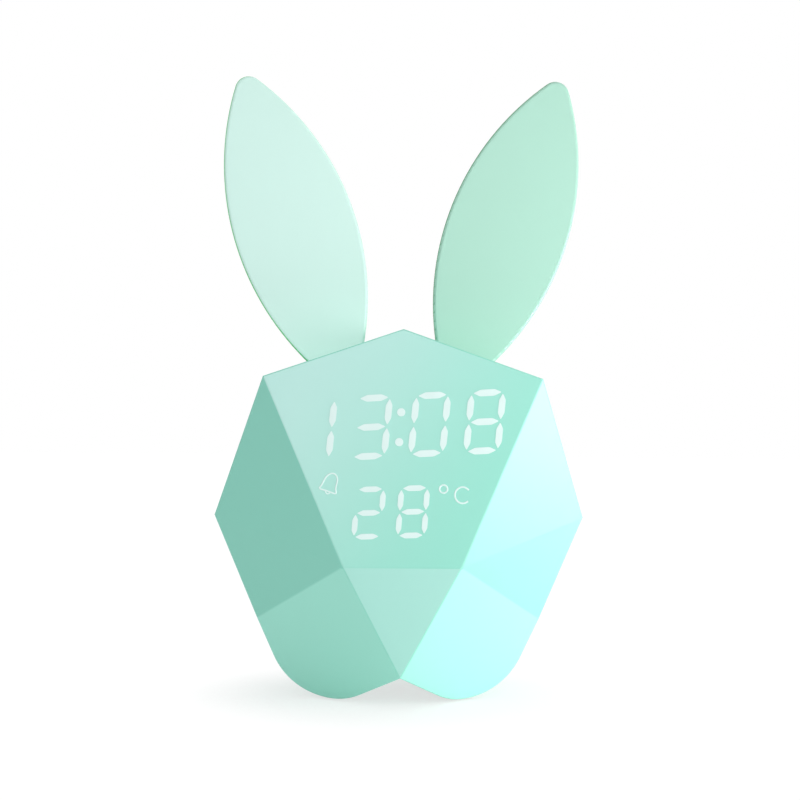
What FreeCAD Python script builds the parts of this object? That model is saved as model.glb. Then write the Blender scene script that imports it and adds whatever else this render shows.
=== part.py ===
import FreeCAD, Part
import math
import os
import re
import Sketcher
from FreeCAD import Placement, Rotation, Vector

# Kids alarm clock with night light: a faceted rabbit head with two leaf-shaped ears.
# Millimetres. Z is up, the face looks towards -Y, and X runs to the right of the face.
# The origin is on the floor, under the middle of the overall box.

SIZES = {
    # Outline of the head, seen from the front
    "apex_height": 102.75,
    "shoulder_half": 37.6,
    "shoulder_height": 89.7,
    "cheek_half": 51.55,
    "cheek_height": 51.4,
    "jaw_half": 39.45,
    "jaw_height": 22.8,
    "lobe_half": 17.9,
    "lobe_bottom": 0.5,
    "lobe_inner_radius": 14,
    "notch_height": 8.7,
    # Facets of the front
    "front_depth": 33,
    "face_lean": 5,
    "face_foot_height": 39.2,
    "face_foot_half": 15.8,
    "cheek_setback": 23.8,
    "jaw_setback": 24.5,
    "notch_setback": 7,
    # Housing
    "rear_depth": 32,
    "parting_depth": 4,
    "bevel_length": 20,
    "bevel_inset": 12,
    "wall": 2,
    "window_wall": 1.2,
    "lip_length": 1.5,
    "lip_clearance": 0.1,
    # Ears
    "ear_thickness": 3,
    "ear_edge_round": 0.9,
    "ear_tip_round": 4,
    "ear_outer_radius": 78.3,
    "ear_outer_centre_x": 27.6,
    "ear_outer_centre_z": 151.3,
    "ear_inner_radius": 77.4,
    "ear_inner_centre_x": 86.7,
    "ear_inner_centre_z": 112.2,
    "ear_root_height": 90,
    "tongue_width": 13,
    "tongue_centre": 18.7,
    "tongue_bottom": 86,
    "tongue_clearance": 0.15,
    "socket_wall": 1.6,
    "socket_bottom": 83,
    # Display behind the face, measured square to the face
    "window_margin": 1.4,
    "film_margin": 1.6,
    "frame_margin": 2.2,
    "mark_margin": 3,
    "film_thickness": 0.3,
    "reflector_depth": 6,
    "segment_depth": 4.5,
    "segment_clearance": 0.15,
    "time_height": 15.5,
    "time_width": 8.45,
    "time_bar": 1.75,
    "time_slant": 5,
    "time_tilt": 3.3,
    "time_row_x": -0.74,
    "time_row_rise": 37.7,
    "time_inner_pitch": 7.8,
    "time_outer_pitch": 22.6,
    "colon_half": 4,
    "colon_dot": 2.2,
    "degrees_height": 12.5,
    "degrees_width": 6.9,
    "degrees_bar": 1.4,
    "degrees_slant": 3.5,
    "degrees_tilt": 2,
    "degrees_row_x": -3.05,
    "degrees_row_rise": 14.6,
    "degrees_pitch": 5.75,
    "degree_ring_x": 10.85,
    "degree_ring_rise": 20.85,
    "degree_ring_outer": 1.6,
    "degree_ring_inner": 0.7,
    "celsius_x": 15.9,
    "celsius_rise": 19.3,
    "celsius_outer": 2.5,
    "celsius_inner": 1.5,
    "bell_x": -19.4,
    "bell_rise": 21.6,
    "bell_tilt": 20,
    "bell_size": 5.2,
    "led_length": 1.6,
    "led_width": 0.8,
    "led_height": 0.6,
    "board": 1.6,
    "display_post": 4.6,
    "display_screw": 2,
    "display_screw_length": 7,
    "display_screw_low": 4.2,
    "display_screw_high": 57,
    # Main board and what it carries
    "main_board_width": 54,
    "main_board_height": 31,
    "main_board_centre": 40.5,
    "main_board_gap": 6,
    "board_screw_x": 24.4,
    "board_screw_rise": 12.6,
    "board_post": 5.6,
    "board_screw": 2.5,
    "board_screw_length": 5,
    "button_diameter": 9,
    "button_proud": 1,
    "button_clearance": 0.3,
    "button_flange": 1,
    "button_flange_width": 1,
    "button_round": 0.6,
    "button_inner": 8,
    "button_outer": 21.5,
    "button_height": 40,
    "switch_width": 6,
    "switch_height": 3.5,
    "plunger_diameter": 3.4,
    "plunger_proud": 0.9,
    "plunger_depth": 2.6,
    "plunger_clearance": 0.25,
    "slider_x": -17.5,
    "slider_height": 29.5,
    "slider_body_width": 9,
    "slider_body_height": 3.6,
    "slider_body_depth": 3.6,
    "slider_travel": 2,
    "slider_knob": 3,
    "slider_knob_height": 2.4,
    "slider_stem": 1.4,
    "slider_proud": 0.6,
    "usb_x": 16,
    "usb_height": 29.5,
    "usb_width": 8,
    "usb_rise": 3,
    "usb_sheet": 0.35,
    "usb_tongue": 0.7,
    "thermistor_height": 29.5,
    "thermistor_bead": 2.4,
    "thermistor_leg": 2,
    "chip_width": 9,
    "chip_height": 1.5,
    "chip_rise": 9.6,
    "crystal_diameter": 3,
    "crystal_length": 8,
    "crystal_x": 12,
    "tap_sensor_diameter": 4.4,
    "tap_sensor_length": 10,
    "tap_sensor_x": -12,
    "battery_width": 44,
    "battery_height": 24,
    "battery_depth": 6,
    "battery_round": 1.5,
    "battery_pad": 1,
    # Speaker behind the rear wall
    "speaker_height": 72,
    "speaker_diameter": 28,
    "speaker_gasket": 0.7,
    "speaker_rim": 1.2,
    "speaker_basket_depth": 6,
    "speaker_basket_diameter": 22,
    "speaker_sheet": 0.8,
    "speaker_magnet_diameter": 14,
    "speaker_magnet_depth": 4,
    "speaker_lug": 17,
    "speaker_screw": 2.5,
    "speaker_screw_length": 4,
    "grille_hole": 2,
    "grille_pitch": 4.6,
    # Housing screws, feet and vents
    "upper_screw_x": 33,
    "upper_screw_height": 56,
    "lower_screw_x": 20,
    "lower_screw_height": 16,
    "screw_diameter": 3,
    "screw_head": 5.5,
    "screw_head_depth": 2.2,
    "screw_length": 14,
    "well_diameter": 6.4,
    "well_floor_depth": 12,
    "post_wall": 1.6,
    "front_post": 7.4,
    "pilot_clearance": 0.5,
    "foot_diameter": 9,
    "foot_height": 1.5,
    "foot_front": 0.5,
    "foot_rear": 26,
    "foot_clearance": 0.15,
    "vent_length": 9,
    "vent_width": 1.2,
    "vent_pitch": 2.6,
    "vent_height": 20.5,
    "wire_diameter": 1,
    "wire_gap": 0.15,
    "wire_bend": 4,
    "ear_board_depth": 6.2,
}

BIG = 300
NAME_PATTERN = re.compile(r"[a-z][a-z0-9_]*")
Y_AXIS = Vector(0, 1, 0)
ALONG_Y = Rotation(Vector(1, 0, 0), -90)

doc = FreeCAD.newDocument("rabbit_clock")
sheet = doc.addObject("Spreadsheet::Sheet", "sizes")
pieces = []


# Sheet and expressions


def fill_sheet():
    for row, (name, value) in enumerate(SIZES.items(), 1):
        sheet.set("A%d" % row, name)
        sheet.set("B%d" % row, str(value))
        sheet.setAlias("B%d" % row, name)
    doc.recompute()


def size(name):
    return float(sheet.get(name))


def linked(text):
    def link(match):
        word = match.group()
        return "sizes." + word if word in SIZES else word

    return NAME_PATTERN.sub(link, str(text))


def bind(item, **expressions):
    for name, text in expressions.items():
        item.setExpression(name, linked(text))


def locate(item, x, y, z):
    item.setExpression("Placement.Base.x", linked(x))
    item.setExpression("Placement.Base.y", linked(y))
    item.setExpression("Placement.Base.z", linked(z))


def keep(item, label):
    item.Label = label
    pieces.append(item)
    return item


# Plain solids and booleans


def slab(name, x, y, z, width, depth, height):
    # Centred on x and z, and starting at y
    item = doc.addObject("Part::Box", name)
    bind(item, Length=width, Width=depth, Height=height)
    locate(item, "%s - (%s) / 2" % (x, width), y, "%s - (%s) / 2" % (z, height))
    return item


def rod(name, x, y, z, diameter, length):
    # A cylinder that runs towards the rear from y
    item = doc.addObject("Part::Cylinder", name)
    item.Placement = Placement(Vector(), ALONG_Y)
    bind(item, Radius="(%s) / 2" % diameter, Height=length)
    locate(item, x, y, z)
    return item


def fuse(name, items):
    if len(items) == 1:
        return items[0]
    item = doc.addObject("Part::MultiFuse", name)
    item.Shapes = items
    return item


def cut(name, base, tools):
    item = doc.addObject("Part::Cut", name)
    item.Base = base
    item.Tool = fuse(name + "_tools", tools)
    return item


def common(name, base, tool):
    item = doc.addObject("Part::Common", name)
    item.Base = base
    item.Tool = tool
    return item


def group(name, items):
    item = doc.addObject("Part::Compound", name)
    item.Links = items
    return item


def mirror(name, source):
    item = doc.addObject("Part::Mirroring", name)
    item.Source = source
    item.Normal = Vector(1, 0, 0)
    return item


def extrude(name, base, start, end):
    # Runs along Y from start to end
    item = doc.addObject("Part::Extrusion", name)
    item.Base = base
    item.DirMode = "Custom"
    item.Dir = Y_AXIS
    item.Solid = True
    item.FaceMakerClass = "Part::FaceMakerSimple"
    bind(item, LengthFwd=end, LengthRev="-(%s)" % start)
    return item


def inset(name, sketch, distance):
    item = doc.addObject("Part::Offset2D", name)
    item.Source = sketch
    item.Join = 2
    bind(item, Value="-(%s)" % distance)
    return item


# Sketches


def upright_sketch(name):
    item = doc.addObject("Sketcher::SketchObject", name)
    item.Placement = Placement(Vector(), Rotation(Vector(1, 0, 0), 90))
    return item


def dimension(sketch, kind, geometry, point, name):
    index = sketch.addConstraint(Sketcher.Constraint(kind, -1, 1, geometry, point, size(name)))
    sketch.renameConstraint(index, name)
    sketch.setExpression("Constraints." + name, "sizes." + name)


def arc_between(centre, radius, start, end):
    circle = Part.Circle(centre, Vector(0, 0, 1), radius)
    return Part.ArcOfCircle(
        circle,
        math.atan2(start.y - centre.y, start.x - centre.x),
        math.atan2(end.y - centre.y, end.x - centre.x),
    )


def flip(point):
    return Vector(-point.x, point.y, point.z)


def right_half_of_outline():
    apex = Vector(0, size("apex_height"), 0)
    shoulder = Vector(size("shoulder_half"), size("shoulder_height"), 0)
    cheek = Vector(size("cheek_half"), size("cheek_height"), 0)
    jaw = Vector(size("jaw_half"), size("jaw_height"), 0)
    bottom = Vector(size("lobe_half"), size("lobe_bottom"), 0)
    notch = Vector(0, size("notch_height"), 0)

    # The cheek line runs on through the jaw and touches the lobe's outer circle
    along = (jaw - cheek).normalize()
    outward = Vector(-along.y, along.x, 0)
    reach = (cheek - bottom).dot(outward)
    outer_radius = reach / (1 + outward.y)
    outer_centre = bottom + Vector(0, outer_radius, 0)
    touch = outer_centre + outward * outer_radius

    # The inner circle runs into a straight line that ends at the notch
    inner_radius = size("lobe_inner_radius")
    inner_centre = bottom + Vector(0, inner_radius, 0)
    to_notch = notch - inner_centre
    turn = math.atan2(to_notch.y, to_notch.x) + math.acos(inner_radius / to_notch.Length)
    leave = inner_centre + Vector(math.cos(turn), math.sin(turn), 0) * inner_radius
    return {
        "corners": (apex, shoulder, cheek, touch),
        "outer": (outer_centre, outer_radius),
        "inner": (inner_centre, inner_radius),
        "bottom": bottom,
        "leave": leave,
        "notch": notch,
        "jaw": jaw,
    }


def head_outline():
    half = right_half_of_outline()
    apex, shoulder, cheek, touch = half["corners"]
    bottom, leave, notch = half["bottom"], half["leave"], half["notch"]
    sketch = upright_sketch("head_outline")
    sketch.addGeometry([
        Part.LineSegment(apex, shoulder),
        Part.LineSegment(shoulder, cheek),
        Part.LineSegment(cheek, touch),
        arc_between(*half["outer"], bottom, touch),
        arc_between(*half["inner"], leave, bottom),
        Part.LineSegment(leave, notch),
        Part.LineSegment(apex, flip(shoulder)),
        Part.LineSegment(flip(shoulder), flip(cheek)),
        Part.LineSegment(flip(cheek), flip(touch)),
        arc_between(flip(half["outer"][0]), half["outer"][1], flip(touch), flip(bottom)),
        arc_between(flip(half["inner"][0]), half["inner"][1], flip(bottom), flip(leave)),
        Part.LineSegment(flip(leave), notch),
    ], False)
    sketch.addGeometry([Part.Point(half["jaw"])], True)
    rule = Sketcher.Constraint
    sketch.addConstraint([
        rule("Coincident", 0, 2, 1, 1),
        rule("Coincident", 1, 2, 2, 1),
        rule("Tangent", 2, 2, 3, 2),
        rule("Tangent", 3, 1, 4, 2),
        rule("Tangent", 4, 1, 5, 1),
        rule("PointOnObject", 0, 1, -2),
        rule("PointOnObject", 5, 2, -2),
        rule("Vertical", 3, 3, 3, 1),
        rule("PointOnObject", 12, 1, 2),
        rule("Coincident", 6, 1, 0, 1),
        rule("Coincident", 6, 2, 7, 1),
        rule("Coincident", 7, 2, 8, 1),
        rule("Coincident", 8, 2, 9, 1),
        rule("Coincident", 9, 2, 10, 1),
        rule("Coincident", 10, 2, 11, 1),
        rule("Coincident", 11, 2, 5, 2),
        rule("Symmetric", 0, 2, 6, 2, -2),
        rule("Symmetric", 1, 2, 7, 2, -2),
        rule("Symmetric", 2, 2, 8, 2, -2),
        rule("Symmetric", 3, 1, 9, 2, -2),
        rule("Symmetric", 4, 1, 10, 2, -2),
        rule("Equal", 3, 9),
        rule("Equal", 4, 10),
    ])
    dimension(sketch, "DistanceY", 0, 1, "apex_height")
    dimension(sketch, "DistanceX", 0, 2, "shoulder_half")
    dimension(sketch, "DistanceY", 0, 2, "shoulder_height")
    dimension(sketch, "DistanceX", 1, 2, "cheek_half")
    dimension(sketch, "DistanceY", 1, 2, "cheek_height")
    dimension(sketch, "DistanceX", 12, 1, "jaw_half")
    dimension(sketch, "DistanceY", 12, 1, "jaw_height")
    dimension(sketch, "DistanceX", 3, 1, "lobe_half")
    dimension(sketch, "DistanceY", 3, 1, "lobe_bottom")
    dimension(sketch, "DistanceY", 5, 2, "notch_height")
    index = sketch.addConstraint(rule("Radius", 4, size("lobe_inner_radius")))
    sketch.renameConstraint(index, "lobe_inner_radius")
    sketch.setExpression("Constraints.lobe_inner_radius", "sizes.lobe_inner_radius")
    doc.recompute()
    return sketch


# Facets


def front_corner(x, z, setback):
    return Vector(size(x) if x else 0, setback - size("front_depth"), size(z))


def face_setback(height):
    return (size(height) - size("face_foot_height")) * math.tan(math.radians(size("face_lean")))


def outside(name, first, second, third, depth):
    # A block that covers everything outside the plane, moved inwards by depth
    normal = (second - first).cross(third - first).normalize()
    middle = Vector(0, 0, size("cheek_height"))
    if normal.dot(middle - first) > 0:
        normal = normal * -1
    item = doc.addObject("Part::Box", name)
    item.Length = BIG
    item.Width = BIG
    item.Height = BIG
    turned = Placement(first - normal * depth, Rotation(Vector(0, 0, 1), normal))
    item.Placement = turned.multiply(Placement(Vector(-BIG / 2, -BIG / 2, 0), Rotation()))
    return item


def facet_tool(name, depth):
    apex = front_corner(None, "apex_height", face_setback("apex_height"))
    shoulder = front_corner("shoulder_half", "shoulder_height", face_setback("shoulder_height"))
    foot = front_corner("face_foot_half", "face_foot_height", 0)
    cheek = front_corner("cheek_half", "cheek_height", size("cheek_setback"))
    jaw = front_corner("jaw_half", "jaw_height", size("jaw_setback"))
    notch = front_corner(None, "notch_height", size("notch_setback"))
    middle = [
        outside(name + "_face", apex, shoulder, foot, depth),
        outside(name + "_chin", flip(foot), foot, notch, depth),
    ]
    side = [
        outside(name + "_upper_cheek", shoulder, cheek, foot, depth),
        outside(name + "_lower_cheek", cheek, jaw, foot, depth),
        outside(name + "_lobe", jaw, foot, notch, depth),
    ]
    start = size("rear_depth") - size("bevel_length")
    for label, first, second in (
        ("roof", apex, shoulder),
        ("shoulder", shoulder, cheek),
        ("jaw", cheek, jaw),
    ):
        one = Vector(first.x, start, first.z)
        two = Vector(second.x, start, second.z)
        along = (two - one).normalize()
        inward = Vector(0, 1, 0).cross(along)
        if inward.dot(Vector(0, 0, size("cheek_height")) - one) < 0:
            inward = inward * -1
        back = one + inward * size("bevel_inset") + Vector(0, size("bevel_length"), 0)
        side.append(outside(name + "_bevel_" + label, one, two, back, depth))
    right = fuse(name + "_right", side)
    return fuse(name, middle + [right, mirror(name + "_left", right)])


def head_block(name, outline, distance, depth):
    prism = extrude(name + "_prism", outline, "-front_depth", "rear_depth - (%s)" % distance)
    return cut(name, prism, [facet_tool(name + "_facets", depth)])


# The face frame: X to the right, Y into the clock, Z up the face from its foot


def face_placement():
    foot = Vector(0, -size("front_depth"), size("face_foot_height"))
    return Placement(foot, Rotation(Vector(1, 0, 0), -size("face_lean")))


def face_outline():
    lean = math.cos(math.radians(size("face_lean")))
    rise = (size("shoulder_height") - size("face_foot_height")) / lean
    top = (size("apex_height") - size("face_foot_height")) / lean
    foot = size("face_foot_half")
    side = size("shoulder_half")
    corners = [
        Vector(-foot, 0, 0),
        Vector(foot, 0, 0),
        Vector(side, rise, 0),
        Vector(0, top, 0),
        Vector(-side, rise, 0),
    ]
    sketch = upright_sketch("face_outline")
    for index, corner in enumerate(corners):
        sketch.addGeometry(Part.LineSegment(corner, corners[(index + 1) % len(corners)]), False)
    rule = Sketcher.Constraint
    for index in range(len(corners)):
        sketch.addConstraint(rule("Coincident", index, 2, (index + 1) % len(corners), 1))
    sketch.addConstraint(rule("PointOnObject", 0, 1, -1))
    sketch.addConstraint(rule("PointOnObject", 2, 2, -2))
    sketch.addConstraint(rule("Symmetric", 0, 1, 0, 2, -2))
    sketch.addConstraint(rule("Symmetric", 1, 2, 3, 2, -2))
    dimension(sketch, "DistanceX", 0, 2, "face_foot_half")
    dimension(sketch, "DistanceX", 1, 2, "shoulder_half")
    for name, geometry, height in (
        ("side_rise", 1, "shoulder_height"),
        ("top_rise", 2, "apex_height"),
    ):
        index = sketch.addConstraint(rule("DistanceY", -1, 1, geometry, 2, 50))
        sketch.renameConstraint(index, name)
        text = "(%s - face_foot_height) / cos(face_lean * 1 deg)" % height
        sketch.setExpression("Constraints." + name, linked(text))
    doc.recompute()
    return sketch


def face_prism(name, sketch, margin, start, thickness):
    outline = inset(name + "_outline", sketch, margin)
    return extrude(name, outline, start, "(%s) + (%s)" % (start, thickness))


# Marks of the display, drawn in the face frame


def prism(points, start, depth):
    corners = [Vector(x, start, z) for x, z in points]
    return Part.Face(Part.makePolygon(corners + corners[:1])).extrude(Vector(0, depth, 0))


def bar_points(x, z, length, thickness, upright):
    taper = length * 0.3
    shape = [
        (-length / 2, 0),
        (-length / 2 + taper, -thickness / 2),
        (length / 2 - taper, -thickness / 2),
        (length / 2, 0),
        (length / 2 - taper, thickness / 2),
        (-length / 2 + taper, thickness / 2),
    ]
    if upright:
        shape = [(-v, u) for u, v in shape]
    return [(x + u, z + v) for u, v in shape]


def digit_bars(row, spare):
    width, height = size(row + "_width"), size(row + "_height")
    thickness = size(row + "_bar")
    across = width - thickness * 0.4 + spare
    along = height / 2 - thickness * 0.4 + spare
    thickness += spare
    bars = [bar_points(0, z, across, thickness, False) for z in (-height / 2, 0, height / 2)]
    for x in (-width / 2, width / 2):
        for z in (-height / 4, height / 4):
            bars.append(bar_points(x, z, along, thickness, True))
    slant = math.tan(math.radians(size(row + "_slant")))
    return [[(x + z * slant, z) for x, z in bar] for bar in bars]


def row_marks(row, offsets, spare, start, depth):
    tilt = math.radians(size(row + "_tilt"))
    solids = []
    for offset in offsets:
        for bar in digit_bars(row, spare):
            points = []
            for x, z in bar:
                along = x + offset
                points.append((
                    size(row + "_row_x") + along * math.cos(tilt) - z * math.sin(tilt),
                    size(row + "_row_rise") + along * math.sin(tilt) + z * math.cos(tilt),
                ))
            solids.append(prism(points, start, depth))
    return solids


def disc(x, z, radius, start, depth):
    return Part.makeCylinder(radius, depth, Vector(x, start, z), Y_AXIS)


def time_marks(spare, start, depth):
    inner, outer = size("time_inner_pitch"), size("time_outer_pitch")
    solids = row_marks("time", (-outer, -inner, inner, outer), spare, start, depth)
    lean = math.sin(math.radians(size("time_tilt") - size("time_slant")))
    for side in (-1, 1):
        rise = side * size("colon_half")
        x = size("time_row_x") - rise * lean
        radius = size("colon_dot") / 2 + spare / 2
        solids.append(disc(x, size("time_row_rise") + rise, radius, start, depth))
    return solids


def degrees_marks(spare, start, depth):
    pitch = size("degrees_pitch")
    return row_marks("degrees", (-pitch, pitch), spare, start, depth)


def bell_points(scale):
    half = [(0.0, 0.5), (0.16, 0.46), (0.24, 0.3), (0.28, 0.0), (0.44, -0.28), (0.14, -0.28),
            (0.1, -0.42), (0.0, -0.46)]
    outline = half + [(-x, z) for x, z in reversed(half[1:-1])]
    turn = math.radians(size("bell_tilt"))
    points = []
    for x, z in outline:
        x, z = x * scale, z * scale
        points.append((
            size("bell_x") + x * math.cos(turn) - z * math.sin(turn),
            size("bell_rise") + x * math.sin(turn) + z * math.cos(turn),
        ))
    return points


def icon_marks(spare, start, depth):
    solids = [prism(bell_points(size("bell_size") + spare), start, depth)]
    grow = spare / 2
    for name, x, rise in (
        ("degree_ring", size("degree_ring_x"), size("degree_ring_rise")),
        ("celsius", size("celsius_x"), size("celsius_rise")),
    ):
        outer = disc(x, rise, size(name + "_outer") + grow, start, depth)
        if spare and name == "degree_ring":
            # The well is a plain round hole, so that no island of the frame is left inside
            solids.append(outer)
            continue
        ring = outer.cut(disc(x, rise, size(name + "_inner") - grow, start, depth))
        if name == "celsius":
            reach = size("celsius_outer") * 2
            mouth = [(x, rise), (x + reach, rise - reach), (x + reach, rise + reach)]
            ring = ring.cut(prism(mouth, start, depth))
        solids.append(ring)
    return solids


def computed(name, solids):
    item = doc.addObject("Part::Feature", name)
    item.Shape = solids[0] if len(solids) == 1 else Part.makeCompound(solids)
    return item


# Housing


def screw_points():
    return {
        "upper": ("upper_screw_x", "upper_screw_height"),
        "lower": ("lower_screw_x", "lower_screw_height"),
    }


def both_sides(name, build):
    # One solid on the right and one on the left, from build(name, sign)
    return [build(name + "_right", ""), build(name + "_left", "-")]


def front_shell(outer, cavity, outline, face):
    half = common("front_half", outer, front_space("front_space"))
    post_start = "-front_depth"
    post_end = "rear_depth - wall - (rear_depth - wall - well_floor_depth) - wall"
    posts = []
    pilots = []
    for level, (x, z) in screw_points().items():
        for side, sign in (("right", ""), ("left", "-")):
            label = "%s_%s" % (level, side)
            posts.append(rod("front_post_" + label, sign + x, post_start, z,
                             "front_post", "front_depth + (%s)" % post_end))
            pilots.append(rod("pilot_" + label, sign + x, "well_floor_depth - screw_length - 1",
                              z, "screw_diameter - pilot_clearance", "screw_length + 1"))
    trimmed = common("front_posts", fuse("front_post_set", posts), outer)
    lip_outline = inset("lip_outline", outline, "wall / 2 + lip_clearance / 2")
    lip_hollow = inset("lip_hollow", outline, "wall")
    lip = cut("lip",
              extrude("lip_block", lip_outline, "-parting_depth - wall / 2",
                      "-parting_depth + lip_length"),
              [extrude("lip_core", lip_hollow, "-parting_depth - wall",
                       "-parting_depth + lip_length + wall")] + socket_gaps())
    display_posts = display_post_set()
    hollow = cut("front_hollow", half, [cavity])
    window = face_prism("window_pocket", face, "window_margin", "window_wall", "wall")
    window.Placement = face_placement()
    thin = cut("front_window", hollow, [window])
    whole = fuse("front_whole", [thin, lip, trimmed, display_posts])
    shell = cut("front_shell", whole, pilots + display_pilots())
    return keep(shell, "front_shell")


def front_space(name):
    return slab(name, "0", "-front_depth - wall", "apex_height / 2",
                "cheek_half * 3", "front_depth + wall - parting_depth", "apex_height * 2")


def rear_space(name):
    return slab(name, "0", "-parting_depth", "apex_height / 2",
                "cheek_half * 3", "parting_depth + rear_depth + wall", "apex_height * 2")


def display_rods(name, diameter, start, length):
    items = []
    for label, rise in (("low", "display_screw_low"), ("high", "display_screw_high")):
        items.append(rod("%s_%s" % (name, label), "0", start, rise, diameter, length))
    return items


def in_face(item):
    item.Placement = face_placement()
    return item


def display_post_set():
    rods = display_rods("display_post", "display_post", "window_wall / 2",
                        "window_wall / 2 + film_thickness + reflector_depth")
    return in_face(group("display_posts", rods))


def display_pilots():
    start = "window_wall + film_thickness + reflector_depth + board - display_screw_length"
    rods = display_rods("display_pilot", "display_screw - 0.4", start, "display_screw_length")
    return [in_face(group("display_pilots", rods))]


def rear_shell(outer, cavity, outline):
    half = common("rear_half", outer, rear_space("rear_space"))
    hollow = cut("rear_hollow", half, [cavity])
    rebate_outline = inset("rebate_outline", outline, "wall / 2 - lip_clearance / 2")
    rebate = extrude("rebate", rebate_outline, "-parting_depth - wall",
                     "-parting_depth + lip_length + lip_clearance")
    sleeves = []
    openings = [rebate]
    inner_face = "rear_depth - wall"
    for level, (x, z) in screw_points().items():
        for side, sign in (("right", ""), ("left", "-")):
            label = "%s_%s" % (level, side)
            sleeves.append(rod("sleeve_" + label, sign + x, "well_floor_depth - wall", z,
                               "well_diameter + 2 * post_wall",
                               "rear_depth - wall / 2 - well_floor_depth + wall"))
            openings.append(rod("well_" + label, sign + x, "well_floor_depth", z,
                                "well_diameter", "rear_depth"))
            openings.append(rod("screw_hole_" + label, sign + x, "well_floor_depth - 2 * wall", z,
                                "screw_diameter + 0.4", "3 * wall"))
    board_posts = []
    for level in ("", "-"):
        for sign in ("", "-"):
            label = "%s_%s" % ("low" if level else "high", "left" if sign else "right")
            rise = "main_board_centre + (%sboard_screw_rise)" % level
            board_posts.append(rod("board_post_" + label, sign + "board_screw_x",
                                   inner_face + " - main_board_gap", rise, "board_post",
                                   "main_board_gap + wall / 2"))
            openings.append(rod("board_pilot_" + label, sign + "board_screw_x",
                                inner_face + " - main_board_gap - 1", rise,
                                "board_screw - 0.4", "board_screw_length"))
    lugs = []
    for side, sign in (("right", ""), ("left", "-")):
        lugs.append(rod("speaker_boss_" + side, sign + "speaker_lug",
                        inner_face + " - speaker_gasket", "speaker_height",
                        "board_post", "speaker_gasket + wall / 2"))
        openings.append(rod("speaker_pilot_" + side, sign + "speaker_lug",
                            inner_face + " - speaker_gasket - 1", "speaker_height",
                            "speaker_screw - 0.4", "speaker_screw_length - speaker_rim + 0.2"))
    sockets = ear_sockets(outer)
    openings += grille_holes() + button_holes() + vent_slots() + foot_recesses()
    openings.append(slab("slider_slot", "slider_x + slider_travel / 2", inner_face + " - 1",
                         "slider_height", "slider_knob + slider_travel + 1",
                         "wall * 2", "slider_knob_height + 0.6"))
    openings.append(slab("usb_opening", "usb_x", inner_face + " - 1", "usb_height",
                         "usb_width + 0.6", "wall * 2", "usb_rise + 0.6"))
    openings += ear_slots()
    solid = fuse("rear_whole", [hollow] + sleeves + board_posts + lugs + [sockets])
    return keep(cut("rear_shell", solid, openings), "rear_shell")


def grille_holes():
    holes = [rod("grille_hole_0", "0", "rear_depth - wall - 1", "speaker_height",
                 "grille_hole", "wall + 2")]
    for ring in (1, 2):
        count = 6 * ring
        for index in range(count):
            angle = 360 * index / count
            x = "%d * grille_pitch * cos(%g deg)" % (ring, angle)
            z = "speaker_height + %d * grille_pitch * sin(%g deg)" % (ring, angle)
            holes.append(rod("grille_hole_%d_%d" % (ring, index), x, "rear_depth - wall - 1", z,
                             "grille_hole", "wall + 2"))
    return holes


BUTTONS = {
    "set": "-button_outer",
    "up": "-button_inner",
    "down": "button_inner",
    "light": "button_outer",
}


def button_holes():
    return [rod(name + "_button_hole", x, "rear_depth - wall - 1", "button_height",
                "button_diameter + 2 * button_clearance", "wall + 2")
            for name, x in BUTTONS.items()]


def vent_slots():
    return [slab("vent_slot_%d" % index, "0", "rear_depth - wall - 1",
                 "vent_height + %d * vent_pitch" % (index - 1), "vent_length", "wall + 2",
                 "vent_width") for index in range(3)]


def foot_places():
    places = {}
    for row in ("front", "rear"):
        for side, sign in (("right", ""), ("left", "-")):
            places["%s_%s" % (row, side)] = (sign + "lobe_half", "foot_" + row)
    return places


def upright_rod(name, x, y, z, diameter, height):
    item = doc.addObject("Part::Cylinder", name)
    bind(item, Radius="(%s) / 2" % diameter, Height=height)
    locate(item, x, y, z)
    return item


def foot_recesses():
    return [upright_rod("foot_recess_" + label, x, y, "-wall",
                        "foot_diameter + 2 * foot_clearance", "foot_height + wall")
            for label, (x, y) in foot_places().items()]


# Ears


def below_roof(name):
    # A block that covers everything under the right half of the roof
    apex = Vector(0, 0, size("apex_height"))
    shoulder = Vector(size("shoulder_half"), 0, size("shoulder_height"))
    behind = Vector(0, 10, size("apex_height"))
    block = outside(name, apex, shoulder, behind, 0)
    block.Placement = block.Placement.multiply(Placement(Vector(0, 0, -BIG), Rotation()))
    return block


def crossing(first, first_radius, second, second_radius):
    # The upper point where two circles cross
    line = second - first
    gap = line.Length
    along = (gap ** 2 + first_radius ** 2 - second_radius ** 2) / (2 * gap)
    rise = math.sqrt(first_radius ** 2 - along ** 2)
    base = first + line * (along / gap)
    square = Vector(-line.y, line.x, 0) * (rise / gap)
    return max((base + square, base - square), key=lambda point: point.y)


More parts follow.
